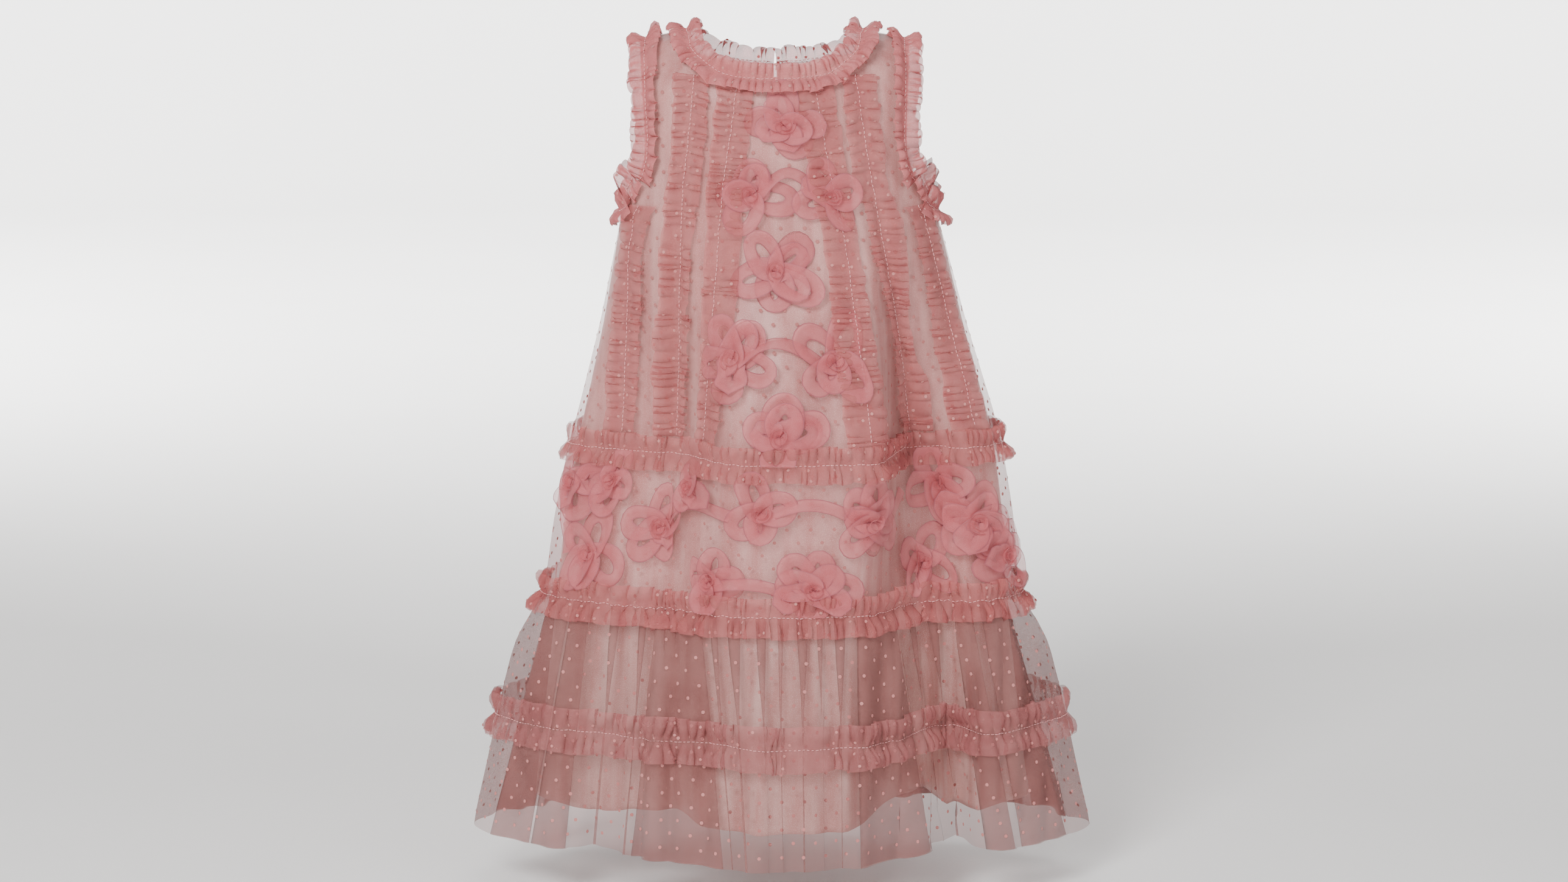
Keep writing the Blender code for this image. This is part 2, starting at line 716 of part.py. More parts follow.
def neck_stations(cloth):
    """From the left shoulder seam down the strap, along the neck edge and up the right strap."""
    neck = NECK_LEVEL[cloth.side]
    strap = [v for v in cloth.levels if 0.0 > v > neck]
    row = [c for c in cloth.columns if abs(c) < NECK_LINE]
    aside, down = INSIDE_ACROSS, INSIDE_DOWN
    return (
        stations_along(cloth, [(-NECK_LINE, v) for v in strap], (-aside, 0.0))
        + stations_along(cloth, [(-NECK_LINE, neck)], (-aside, down))
        + stations_along(cloth, [(c, neck) for c in row], (0.0, down))
        + stations_along(cloth, [(NECK_LINE, neck)], (aside, down))
        + stations_along(cloth, [(NECK_LINE, v) for v in reversed(strap)], (aside, 0.0))
    )


def build_neck_ruffle(front, back):
    """From the slit round the right of the neck, over the front, and back to the slit."""
    behind = neck_stations(back)
    middle = len(behind) // 2
    slit = [(SLIT_ACROSS, NECK_LEVEL[BACK]), (-SLIT_ACROSS, NECK_LEVEL[BACK])]
    ends = stations_along(back, slit, (0.0, INSIDE_DOWN))
    ridge = stations_along(front, [(NECK_LINE, 0.0)], (INSIDE_ACROSS, 0.0))
    ridge += stations_along(front, [(-NECK_LINE, 0.0)], (-INSIDE_ACROSS, 0.0))
    stations = (
        ends[:1] + behind[middle + 1:] + ridge[:1] + neck_stations(front)[::-1] + ridge[1:]
        + behind[:middle] + ends[1:]
    )
    edge_ruffle("neck_ruffle", stations, NECK_WAVES, closed=False)


def build_armhole_ruffle(name, front, back, sign):
    """Round the armhole: down the front edge, under the arm and up the back edge."""
    edge = [(front, v) for v in front.levels if v >= UNDERARM]
    edge += [(back, v) for v in reversed(back.levels) if 0.0 > v > UNDERARM]
    stations = []
    for cloth, level in edge:
        aside = smooth_step((level - UNDERARM) / (ARMHOLE_BEND - UNDERARM))
        inside = (-sign * (1 - SIDE_LINE) * aside, (UNDERARM - ARMHOLE_BEND) / 2 * (1 - aside))
        stations += stations_along(cloth, [(sign, level)], inside)
    edge_ruffle(name, stations, ARMHOLE_WAVES, closed=True)


def build_button(back):
    point, normal = back.at(0.0, BUTTON_LEVEL)
    bm = bmesh.new()
    bmesh.ops.create_cone(bm, cap_ends=True, segments=20, radius1=BUTTON_RADIUS,
                          radius2=BUTTON_RADIUS, depth=BUTTON_THICKNESS)
    mesh = bpy.data.meshes.new("button")
    bm.to_mesh(mesh)
    bm.free()
    button = add_piece("button", mesh, PEARL)
    button.location = point + normal * (OUTSIDE + LAYER_GAP + BUTTON_THICKNESS / 2)
    button.rotation_mode = "QUATERNION"
    button.rotation_quaternion = normal.to_track_quat("Z", "Y")


def main():
    build_lining()
    front, back = build_overlay()
    for upright in UPRIGHTS:
        build_upright(upright, front)
    band_front = build_band(FRONT, "band_front")
    band_back = build_band(BACK, "band_back")
    flounce_front = build_flounce(FRONT, "flounce_front")
    flounce_back = build_flounce(BACK, "flounce_back")
    sides = (
        ("front", (front, band_front, flounce_front), "front_waves"),
        ("back", (back, band_back, flounce_back), "back_waves"),
    )
    for side, (upper, band, flounce), waves in sides:
        pairs = ((upper, band), (band, flounce), (flounce, flounce))
        for number, (row, (above, below)) in enumerate(zip(ROWS, pairs), 1):
            build_row(f"row_{number}_{side}", row, above, below, getattr(row, waves))
    build_neck_ruffle(front, back)
    build_armhole_ruffle("armhole_ruffle_left", front, back, -1)
    build_armhole_ruffle("armhole_ruffle_right", front, back, 1)
    build_button(back)


for old in list(bpy.data.objects):
    bpy.data.objects.remove(old, do_unlink=True)
collection = bpy.data.collections.new("tulle_dress")
bpy.context.scene.collection.children.link(collection)
main()
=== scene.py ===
"""A girl's tulle dress in cloth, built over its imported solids.

Metres, +Z up, front towards -Y. `across` runs from -1 at the left side seam to 1 at the right one,
`level` is the height, counted from the shoulder seams, and the cloth follows the body sections and
folds in the tables below. The sheer layers have no thickness, so that each one tints once.
"""
import math
from collections import namedtuple

import bmesh
import bpy
import numpy as np
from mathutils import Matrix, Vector


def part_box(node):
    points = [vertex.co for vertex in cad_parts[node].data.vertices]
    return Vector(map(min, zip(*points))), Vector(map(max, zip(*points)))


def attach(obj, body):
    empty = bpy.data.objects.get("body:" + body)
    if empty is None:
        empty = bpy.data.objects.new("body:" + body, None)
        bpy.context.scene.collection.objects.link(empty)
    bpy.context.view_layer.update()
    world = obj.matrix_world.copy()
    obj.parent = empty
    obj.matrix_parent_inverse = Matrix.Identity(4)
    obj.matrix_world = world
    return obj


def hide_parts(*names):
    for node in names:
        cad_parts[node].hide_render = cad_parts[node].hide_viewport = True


FRONT, BACK = -1, 1
TURN = 2 * math.pi
SIDES = ((FRONT, "front"), (BACK, "back"))

# Heights of the edges and seams.
UNDERARM = -0.125
ROW_1 = -0.290
ROW_2 = -0.398
ROW_3 = -0.486
TULLE_HEM = -0.568
LINING_HEM = -0.545

# Shoulder, neck and armhole.
NECK_HALF = 0.061
SHOULDER_SLOPE = 0.18
ARCH_HEIGHT = 0.050
NECK_LEVEL = {FRONT: -0.021, BACK: -0.019}
NECK_SCOOP = {FRONT: 0.011, BACK: 0.010}
NECK_LINE = 0.46
PANEL_LINE = 0.22
SIDE_LINE = 0.70
ARMHOLE_SHARE = 0.61
ARMHOLE_BEND = -0.070
OUTERMOST = 0.90
BACK_SLIT = 0.105
SLIT_HALF = 0.0012
ROUNDING = 0.010

# Columns that aren't lengths; the tables give all the others in millimetres.
NO_LENGTH = ("across", "roundness", "form", "turn")


def table(columns, *rows):
    """Rows of a table with their columns named and their lengths in metres."""
    kind = namedtuple("Entry", columns)
    return tuple(kind(*(value if name in NO_LENGTH else value / 1000
                        for name, value in zip(kind._fields, row))) for row in rows)


def both(columns, front, back):
    """A table for the front and one for the back."""
    return {FRONT: table(columns, *front), BACK: table(columns, *back)}


# Body sections of the tulle: half width, depth to the front and the back, and roundness.
SECTIONS = table(
    "level half_width front back roundness",
    (0, 115, 62, 56, 2.1), (-50, 111.5, 65, 60, 2.1), (-125, 109, 71, 68, 2.1),
    (-205, 128, 66, 77, 1.9), (-290, 152, 58, 86, 1.75), (-344, 162, 67, 90, 1.7),
    (-398, 168, 76, 96, 1.7), (-433, 189, 90, 106, 1.65), (-486, 202, 103, 114, 1.6),
    (-568, 220, 114, 125, 1.6))

# How far the body hangs to one side.
SWAYS = table(
    "level x",
    (0, -5), (-100, -3.5), (-140, -1), (-200, 1), (-270, 3), (-330, 2), (-400, 0))

# How far the lining hangs inside the tulle, at its sides and in front.
INSETS = table(
    "level side front",
    (0, 0, 0), (-150, 0, 0), (-290, 5, 4), (-398, 9, 4), (-433, 26, 6), (-486, 33, 6),
    (-568, 41, 8))

# Seam lines and ruffle lines: x at the top, the neck's corners, chest, first row and hem.
NECK_CORNER = -0.022
CHEST = -0.140
LINES = both("across top neck chest row_1 hem", (
    (-SIDE_LINE, -80, -83, -103, -114, -160), (-NECK_LINE, -61, -54, -67, -76, -105),
    (-PANEL_LINE, -24, -25, -42, -56, -70), (PANEL_LINE, 24, 26, 44, 60, 70),
    (NECK_LINE, 61, 54, 70, 88, 110), (SIDE_LINE, 80, 83, 104, 134, 172),
), (
    (-NECK_LINE, -61, -54, -72, -90, -120), (NECK_LINE, 61, 54, 70, 86, 115),
))

# Folds: where each one lies, how soft its two flanks are, how it drifts, how far it stands out.
FOLD = "left right soft_left soft_right drift row_1 row_2 row_3 hem"
FOLD_TOP = -0.130
TULLE_FOLDS = both(FOLD, (
    (-54, 71, 24, 12, -10, 44, 21, 16, 20), (74, 118, 12, 14, 24, -22, -18, -36, -36),
    (-62, -30, 14, 14, 0, 0, -3, -14, -4), (-135, -112, 14, 14, -6, 0, 0, -8, -26),
    (134, 172, 14, 14, 2, 0, 3, 14, 10), (118, 128, 7, 6, 0, 0, 0, 0, -20),
    (-28, -8, 10, 10, 4, 0, 0, 3, 5), (28, 44, 9, 9, 4, 0, 0, -4, -5),
    (-92, -82, 8, 8, 2, 0, 0, 5, 6), (-168, -158, 8, 8, 4, 0, 0, 4, 6),
), (
    (-55, 30, 26, 22, -6, 10, 12, 16, 20), (-112, -78, 18, 16, -12, -8, -12, -22, -30),
    (60, 92, 16, 20, 10, -6, -11, -20, -27), (-20, 0, 10, 12, 3, 0, 0, -4, -6),
    (120, 132, 9, 9, 3, 0, 0, 4, 6), (-150, -140, 8, 9, -3, 0, 0, 4, 6),
))
LINING_FOLDS = both(FOLD, (
    (-90, -64, 26, 11, 0, 0, -8, -26, -50), (60, 112, 10, 14, 4, 0, -10, -30, -58),
    (-12, 4, 10, 10, 2, 0, -2, -4, -6), (-132, -120, 9, 9, 0, 0, -2, -5, -9),
), (
    (-95, -70, 12, 12, 0, 0, -6, -14, -26), (55, 80, 12, 12, 0, 0, -6, -16, -30),
))

# Creases of the body above the first row, listed one by one: x at the top and the bottom, from
# which height to which, how wide and how deep.
CREASES = both("x_top x_low top low width depth", (
    (-71, -68, -150, -285, 6, -3.2), (-80, -90, -90, -285, 6, 3.6),
    (64, 78, -100, -285, 7, -3.4), (78, 98, -80, -280, 6, 3.4),
    (92, 112, -120, -270, 8, 2.6), (-88, -104, -60, -230, 6, -3),
    (-10, 6, -180, -285, 14, 2.6), (24, 30, -200, -285, 10, -2),
    (-100, -128, -140, -240, 9, 2.2), (-58, -60, -60, -240, 6, 2.4),
), (
    (-60, -80, -80, -280, 12, -2.6), (50, 74, -100, -285, 13, -2.4),
    (-20, -28, -160, -285, 12, 2), (95, 120, -130, -270, 10, 2),
))

# The three rows of ruffle round the skirt and the six upright ones.
Row = namedtuple("Row", "level half pitch lift")
ROWS = (
    Row(ROW_1, 0.0125, 0.0066, 0.0058), Row(ROW_2, 0.0140, 0.0066, 0.0064),
    Row(ROW_3, 0.0155, 0.0082, 0.0064),
)
# Name, line and the height where it starts.
UPRIGHTS = (
    ("far_left", -SIDE_LINE, -0.118), ("mid_left", -NECK_LINE, -0.027),
    ("inner_left", -PANEL_LINE, -0.026), ("inner_right", PANEL_LINE, -0.026),
    ("mid_right", NECK_LINE, -0.027), ("far_right", SIDE_LINE, -0.118),
)
UPRIGHT_HALF = 0.0128
UPRIGHT_END = ROW_1 + 0.0120
UPRIGHT_PITCH, UPRIGHT_LIFT = 0.0062, 0.0040

# Ribbon flowers on the centre panel and the band: place, length of the longest loop, form and turn.
FLOWER = "x z size form turn"
PANEL_FLOWERS = table(
    FLOWER,
    (2, -54, 27, "four", 2.2), (-21, -106, 29, "four", 0.4), (34, -108, 28, "four", 2.6),
    (-4, -160, 33, "five", 0.1), (-33, -219, 31, "five", 0.0), (37, -221, 31, "four", 1.6),
    (-1, -270, 30, "four", 0.5))
BAND_FLOWERS = both(FLOWER, (
    (-145, -315, 26, "four", 0.9), (-118, -312, 27, "four", 3.6),
    (-84, -342, 30, "five", 0.7), (-134, -364, 31, "four", 0.2),
    (-48, -374, 27, "four", 0.4), (-14, -322, 26, "four", 2.5),
    (22, -378, 29, "five", 0.3), (62, -330, 31, "five", 0.3), (98, -370, 29, "four", 0.1),
    (110, -315, 27, "four", 4.0), (137, -343, 31, "five", 0.6),
    (157, -368, 27, "four", 1.3), (-62, -312, 19, "three", 0.2),
), (
    (-142, -330, 29, "four", 0.8), (-108, -366, 30, "five", 0.1),
    (-80, -320, 27, "four", 1.4), (-46, -356, 31, "five", 2.2), (-8, -324, 28, "four", 0.6),
    (20, -370, 29, "four", 0.9), (54, -332, 31, "five", 1.1), (96, -362, 29, "four", 0.2),
    (126, -324, 27, "four", 2.6), (148, -364, 28, "four", 1.9),
))
# Ribbons that arch from one flower to another: the numbers of both, and the rise in metres.
PANEL_ARCS = ((1, 2, 0.022), (4, 5, 0.016))
BAND_ARCS = {
    FRONT: ((2, 5, 0.012), (5, 7, 0.013), (4, 6, 0.006), (0, 3, -0.006), (7, 9, -0.010)),
    BACK: ((2, 4, 0.008), (7, 9, -0.006)),
}
# The loops of each form: direction in degrees, length and width as shares of the size.
LOOPS = {
    "three": ((82, 1.0, 0.92), (206, 0.94, 0.86), (322, 1.0, 0.94)),
    "four": ((56, 1.0, 0.9), (140, 0.92, 0.86), (226, 1.0, 0.78), (330, 1.08, 0.82)),
    "five": (
        (46, 1.0, 0.8), (118, 1.0, 0.8), (192, 0.96, 0.74), (262, 0.86, 0.74), (332, 1.12, 0.74)),
}

# Pleats of the flounce that lie in three plies: x of both edges at the second row and at the hem.
PLIES = both("left_row right_row left_hem right_hem", (
    (-163, -148, -206, -178), (-146, -134, -176, -152), (-119, -112, -134, -128),
    (-98, -93, -112, -107), (-86, -56, -105, -40), (-50, -45, -36, -31),
    (-38, -29, -27, -20), (-18, -11, -12, -6), (-3, 1, -1, 3), (10, 18, 12, 20),
    (24, 28, 27, 31), (36, 44, 38, 46), (52, 78, 54, 104), (86, 92, 110, 116),
    (100, 108, 122, 129), (120, 132, 144, 164), (138, 156, 168, 202),
), (
    (-163, -150, -206, -180), (-142, -128, -172, -146), (-118, -88, -138, -86),
    (-74, -67, -74, -67), (-60, -50, -54, -30), (-38, -30, -26, -19), (-12, -4, -10, -2),
    (10, 26, 8, 34), (40, 48, 46, 53), (66, 94, 72, 118), (104, 116, 126, 146),
    (126, 140, 154, 176), (146, 158, 182, 205),
))
PLY_LIFT = 0.0010
NARROW_PLY = 0.012
RIBBON = 0.0096

# The dots flocked on the tulle: how far apart along a row and from row to row, and their size.
DOT_ALONG = 0.0164
DOT_DOWN = 0.0093
DOT_RADIUS = 0.00135
RUFFLE_DOT_RADIUS = 0.00120


def unit(vectors, least=1e-12):
    """Vectors brought to length 1."""
    return vectors / np.maximum(np.linalg.norm(vectors, axis=-1, keepdims=True), least)


def square_to(vectors, direction):
    """Vectors without their part along a unit direction."""
    return vectors - direction * (vectors * direction).sum(-1, keepdims=True)


def run_along(line):
    """Distance along a line at each of its points."""
    return np.concatenate([[0.0], np.cumsum(np.linalg.norm(np.diff(line, axis=0), axis=1))])


def clamp(value):
    return np.clip(value, 0.0, 1.0)


def smooth_step(t):
    t = clamp(t)
    return t * t * (3 - 2 * t)


def between(rows, level, column):
    """A table's column at given levels, a little rounded where its lines meet."""
    stops = [-row.level for row in rows]
    values = [getattr(row, column) for row in rows]
    down = -np.asarray(level, float)
    shifts = (-ROUNDING, 0.0, ROUNDING)
    low, mid, high = (np.interp(down + shift, stops, values) for shift in shifts)
    return (low + 2 * mid + high) / 4


def shoulder_line(x):
    return -SHOULDER_SLOPE * np.maximum(0.0, np.abs(x) - NECK_HALF)


def panel_half(level):
    """Half width of the panels, which the armhole cuts in above the underarm."""
    half = between(SECTIONS, level, "half_width")
    power = between(SECTIONS, level, "roundness")
    drop = clamp((ARMHOLE_BEND - level) / (ARMHOLE_BEND - UNDERARM))
    share = ARMHOLE_SHARE * np.sqrt(1 - drop ** 2)
    return half * (1 - share ** power) ** (1 / power)


def line_x(line, level):
    """x of a seam line at a level; no line comes nearer the panels' edge than OUTERMOST."""
    stops = (0.0, -NECK_CORNER, -CHEST, -ROW_1, -TULLE_HEM)
    x = np.interp(-level, stops, (line.top, line.neck, line.chest, line.row_1, line.hem))
    limit = OUTERMOST * panel_half(level)
    return np.clip(x, -limit, limit)


def column_x(side, across, level):
    """x of the columns at the levels; the angle is shared out between the seam lines."""
    stops = [-1.0] + [line.across for line in LINES[side]] + [1.0]
    found = []
    for z in level:
        half = panel_half(z)
        inner = [math.asin(line_x(line, z) / half) for line in LINES[side]]
        angles = [-math.pi / 2] + inner + [math.pi / 2]
        found.append(half * np.sin(np.interp(across, stops, angles)))
    return np.array(found)


def fold_depth(folds, x, z):
    """How far the folds stand out at a place."""
    heights = np.array([-FOLD_TOP, -ROW_1, -ROW_2, -ROW_3, -TULLE_HEM])
    k = np.clip(np.searchsorted(heights, -z) - 1, 0, 3)
    t = smooth_step((-z - heights[k]) / (heights[k + 1] - heights[k]))
    total = 0.0
    for fold in folds:
        amounts = np.array([0.0, fold.row_1, fold.row_2, fold.row_3, fold.hem])
        amount = amounts[k] + (amounts[k + 1] - amounts[k]) * t
        shift = fold.drift * clamp((ROW_1 - z) / (ROW_1 - TULLE_HEM))
        rise = smooth_step((x - fold.left - shift + fold.soft_left) / (2 * fold.soft_left))
        fall = smooth_step((fold.right + shift + fold.soft_right - x) / (2 * fold.soft_right))
        total = total + amount * rise * fall
    return total


def crease_depth(creases, x, z):
    """How far the listed creases of the body stand out at a place."""
    total = 0.0
    for crease in creases:
        run = clamp((crease.top - z) / (crease.top - crease.low))
        middle = crease.x_top + (crease.x_low - crease.x_top) * run
        along = np.sin(math.pi * run) ** 0.7
        total = total + crease.depth * along * np.exp(-((x - middle) / crease.width) ** 2)
    return total


def tulle_depth(side, x, z):
    """Distance of the tulle from the side plane."""
    half = between(SECTIONS, z, "half_width")
    power = between(SECTIONS, z, "roundness")
    depth = between(SECTIONS, z, "front" if side == FRONT else "back")
    share = clamp(np.abs(x) / half)
    arch = clamp((shoulder_line(x) - z) / ARCH_HEIGHT)
    depth = depth * np.sqrt(1 - (1 - arch) ** 2)
    folds = fold_depth(TULLE_FOLDS[side], x, z) + crease_depth(CREASES[side], x, z)
    return depth * (1 - share ** power) ** (1 / power) + (1 - share ** 6) * folds


def lining_depth(side, x, z):
    """The lining follows the tulle, narrower, with deeper valleys, and never comes through it."""
    half = between(SECTIONS, z, "half_width")
    scale = 1 - between(INSETS, z, "side") / half
    behind = between(INSETS, z, "front")
    share = clamp(np.abs(x) / (half * scale))
    own = tulle_depth(side, x / scale, z) + (1 - share ** 6) * fold_depth(LINING_FOLDS[side], x, z)
    outer = tulle_depth(side, x, z)
    near = [v - behind * clamp(v / 0.03) for v in (own, outer)]
    return np.minimum(*near)


def edge_height(side, across, level):
    """Height of the columns at the levels: shoulder slope and scoop fade out downwards."""
    fade = clamp(1 - level / UNDERARM)
    x = column_x(side, across, [0.0])
    scoop = NECK_SCOOP[side] * np.maximum(0.0, 1 - (x / NECK_HALF) ** 2)
    return level[:, None] + fade[:, None] * (shoulder_line(x) - scoop)


def flounce_gather(side, across, level, x):
    """Soft gathers of the flounce: fine below the stitching, wide at the hem."""
    down = clamp((ROW_2 - level) / (ROW_2 - TULLE_HEM))
    pinch = 1 - 0.75 * np.exp(-((level - ROW_3) / 0.010) ** 2)
    uneven = 1 + 0.5 * np.sin(31 * x + 2.0 * side) + 0.3 * np.sin(67 * x + 1.0)
    fine = np.sin(TURN * x / 0.0085 + 2.5 * np.sin(70 * x))
    middle = np.sin(TURN * x / 0.0200 + 1.7 * np.sin(41 * x + side) + 3 * down)
    wide = np.sin(TURN * x / 0.0440 + 1.1 * np.sin(23 * x + 2 * side))
    size = 0.0010 * fine * np.exp(-down / 0.18) + 0.0017 * middle * smooth_step(down / 0.35) * pinch
    size = size + 0.0022 * wide * down
    start = smooth_step((ROW_2 - level) / 0.006)
    return size * uneven * start * (1 - np.abs(across) ** 8)


def lining_wave(x, level):
    """Small waves of the satin towards its hem."""
    down = clamp((UNDERARM - level) / (UNDERARM - LINING_HEM))
    wide = np.sin(TURN * x / 0.047 + 3 * down)
    fine = np.sin(TURN * x / 0.021 + 1)
    return 0.0012 * down * (wide + 0.6 * fine)


class Cloth:
    """A fine grid over one side of the dress, with the outward direction at each point."""

    def __init__(self, side, layer, columns, levels, out=0.0):
        self.side, self.columns, self.levels = side, np.array(columns), np.array(levels)
        x = column_x(side, self.columns, self.levels)
        z = edge_height(side, self.columns, self.levels)
        sway = between(SWAYS, z, "x")
        if layer == "lining":
            x = x * (1 - between(INSETS, z, "side") / between(SECTIONS, z, "half_width"))
            depth = lining_depth(side, x, z) + lining_wave(x, z)
        else:
            depth = tulle_depth(side, x, z)
        self.points = np.stack([x + sway, side * depth, z], -1)
        self.normals = self.outward()
        if layer == "tulle":
            push = flounce_gather(side, self.columns[None, :], z, x)
            self.points = self.points + self.normals * push[..., None]
            self.normals = self.outward()
        self.points = self.points + self.normals * out
        self.grid = np.concatenate([self.points, self.normals], axis=-1)

    def outward(self):
        along = np.gradient(self.points, axis=1)
        down = np.gradient(self.points, axis=0)
        return unit(np.cross(down, along) * -self.side)

    def at(self, across, level):
        """Points and outward directions at places on the cloth."""
        across, level = np.broadcast_arrays(np.asarray(across, float), np.asarray(level, float))
        i, t = locate(-self.levels, -level)
        j, s = locate(self.columns, across)
        top, low = (self.grid[k, j] * (1 - s) + self.grid[k, j + 1] * s for k in (i, i + 1))
        found = top * (1 - t) + low * t
        return found[..., :3], unit(found[..., 3:])

    def across_of(self, x, level):
        """The column through x at a level."""
        samples = np.linspace(-0.98, 0.98, 400)
        xs = self.at(samples, level)[0][:, 0]
        return float(np.interp(x, np.maximum.accumulate(xs), samples))

    def pace(self, across, level):
        """Metres of cloth for each unit of across."""
        step = 0.01
        ahead, behind = (self.at(across + s, level)[0] for s in (step, -step))
        return np.linalg.norm(ahead - behind, axis=-1) / (2 * step)


def locate(stops, values):
    """Cell number and share of the way through it, for each value."""
    k = np.clip(np.searchsorted(stops, values, side="right") - 1, 0, len(stops) - 2)
    return k, clamp((values - stops[k]) / (stops[k + 1] - stops[k]))[..., None]


def finer(stops, step):
    """Stops with even steps between them of about the given size."""
    found = []
    for a, b in zip(stops, stops[1:]):
        count = max(1, round(abs(b - a) / step))
        found += [a + (b - a) * k / count for k in range(count)]
    return found + [stops[-1]]


# Meshes.

def grid_faces(rows, cols, present=None, closed=False):
    faces = []
    for i in range(rows if closed else rows - 1):
        for j in range(cols - 1):
            if present is None or present(i, j):
                a, b = i * cols + j, (i + 1) % rows * cols + j
                faces.append((a, a + 1, b + 1, b))
    return faces


def place_object(name, data):
    thing = bpy.data.objects.new(name, data)
    bpy.context.scene.collection.objects.link(thing)
    return thing


def make_mesh(name, points, faces, material):
    """A smooth mesh object without loose points."""
    mesh = bpy.data.meshes.new(name)
    mesh.from_pydata([tuple(p) for p in np.asarray(points).reshape(-1, 3)], [], faces)
    mesh.validate()
    bm = bmesh.new()
    bm.from_mesh(mesh)
    bmesh.ops.delete(bm, geom=[v for v in bm.verts if not v.link_faces], context="VERTS")
    bm.to_mesh(mesh)
    bm.free()
    for polygon in mesh.polygons:
        polygon.use_smooth = True
    mesh.materials.append(material)
    return place_object(name, mesh)


def make_piece(name, points, faces, look):
    piece = make_mesh(name, points, faces, look.material)
    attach(piece, "root")
    return piece


def make_sheet(name, node, points, faces, look, grid=None):
    """A cloth piece that stands for a node, which it hides; the width and length of its grid laid
    flat are measured, but nothing uses them.
    """
    piece = make_piece(name, points, faces, look)
    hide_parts(node)
    grid = points if grid is None else grid
    steps = (np.linalg.norm(np.diff(grid, axis=axis), axis=-1).sum(axis=axis) for axis in (1, 0))
    width, length = (float(lengths.max()) for lengths in steps)
    return piece


# Materials.

Look = namedtuple("Look", "material slot")
# The colour sockets of a Mix node come after its number and vector ones.
MIX_A, MIX_B, MIX_RESULT = 6, 7, 2


def linear(hex_colour):
    """Linear RGBA of an sRGB hex colour."""
    parts = [int(hex_colour[i:i + 2], 16) / 255 for i in (1, 3, 5)]
    return [v / 12.92 if v <= 0.04045 else ((v + 0.055) / 1.055) ** 2.4 for v in parts] + [1.0]


def add(tree, kind, inputs=(), **settings):
    """Adds a node; inputs pair a socket with a value, or with the node or socket that feeds it."""
    node = tree.nodes.new("ShaderNode" + kind)
    for name, value in settings.items():
        setattr(node, name, value)
    for socket, value in inputs:
        if isinstance(value, bpy.types.Node):
            tree.links.new(value.outputs[0], node.inputs[socket])
        elif isinstance(value, bpy.types.NodeSocket):
            tree.links.new(value, node.inputs[socket])
        else:
            node.inputs[socket].default_value = value
    return node


def cloth_material(
        name, low, high, cell, bump, patch=22.0, patch_share=0.5, stretch=1.0, **shader_settings):
    """Woven or netted cloth: two close colours in a grain of the given cell size in mm and in soft
    patches, drawn out downwards by stretch, with the same grain as relief; patches drawn out long
    are streaks of painted sheen."""
    material = bpy.data.materials.new(name)
    material.use_nodes = True
    tree = material.node_tree
    shader = tree.nodes["Principled BSDF"]
    place = add(tree, "TexCoord").outputs["Object"]
    grain = add(tree, "TexVoronoi", [
        ("Vector", place), ("Scale", 1000 / cell)], feature="DISTANCE_TO_EDGE")
    net = add(tree, "MapRange", [("Value", grain), ("From Min", 0.0), ("From Max", 0.35)])
    drawn = add(tree, "Mapping", [("Vector", place), ("Scale", (1.0, 1.0, 1 / stretch))])
    cloud = add(tree, "TexNoise", [("Vector", drawn), ("Scale", 1000 / patch), ("Detail", 4.0)])
    soft = add(tree, "MapRange", [
        ("Value", cloud), ("From Min", 0.35), ("From Max", 0.65), ("To Max", patch_share)])
    share = add(tree, "Math", [(0, net), (1, 1 - patch_share)], operation="MULTIPLY")
    total = add(tree, "Math", [(0, share), (1, soft)], operation="ADD")
    colour = add(tree, "Mix", [
        ("Factor", total), (MIX_A, linear(low)), (MIX_B, linear(high))], data_type="RGBA")
    relief = add(tree, "Bump", [("Height", net), ("Strength", bump), ("Distance", 0.0002)])
    tree.links.new(colour.outputs[MIX_RESULT], shader.inputs["Base Color"])
    tree.links.new(relief.outputs[0], shader.inputs["Normal"])
    for socket, value in shader_settings.items():
        shader.inputs[socket.replace("_", " ")].default_value = value
    return material


# The net's real cells, under 1 mm, and the threads of the satin are too fine to show in a picture
# of the whole dress, so both grains are drawn coarser.
NET_CELL = 1.6


def cloth_look(slot, *grain, **finish):
    return Look(cloth_material(*grain, **finish), slot)


def net_look(slot, name, low, high, alpha, bump=0.2, **finish):
    return cloth_look(slot, name, low, high, NET_CELL, bump, Alpha=alpha, Roughness=0.9, **finish)


# Nylon tulle, a fine net dyed dusty rose: it tints what is behind it.
TULLE = net_look("tulle", "nylon_tulle_net", "#A05456", "#D48886", 0.38, patch_share=0.35)
# The flounce's net hangs free of the lining; its colour is painted darker than the body's net, a
# painted shade for the dark behind it, and the back's copy is denser and darker still, a painted
# shade for the inside of the skirt.
SHADED_FLOUNCE = {
    FRONT: net_look("tulle", "nylon_tulle_flounce_painted_shade", "#8B5450", "#AE736E", 0.40, patch_share=0.35),
    BACK: net_look(
        "tulle", "nylon_tulle_back_flounce_painted_shade", "#7C4B48", "#A06964", 0.62, patch_share=0.35),
}
# The same net drawn up about three to one: one ply here stands for several in the real ruffle.
RUFFLE = net_look(
    "ruffle_tulle", "nylon_tulle_gathered", "#B0585A", "#D07672", 0.50, 0.3, patch=9.0)
# The third row lies over the free net, with no satin behind it; its net is painted darker, a
# painted shade for the light that the satin would give it.
SHADED_LOW_RUFFLE = net_look(
    "ruffle_tulle", "nylon_tulle_gathered_low_painted_shade", "#A35A5A", "#C07876", 0.52, 0.3, patch=9.0)
# Along the neck and the armholes it is drawn up tighter still and stands in many plies.
EDGE_RUFFLE = net_look(
    "ruffle_tulle", "nylon_tulle_gathered_tight", "#BC6365", "#D27C7B", 0.78, 0.3, patch=9.0)
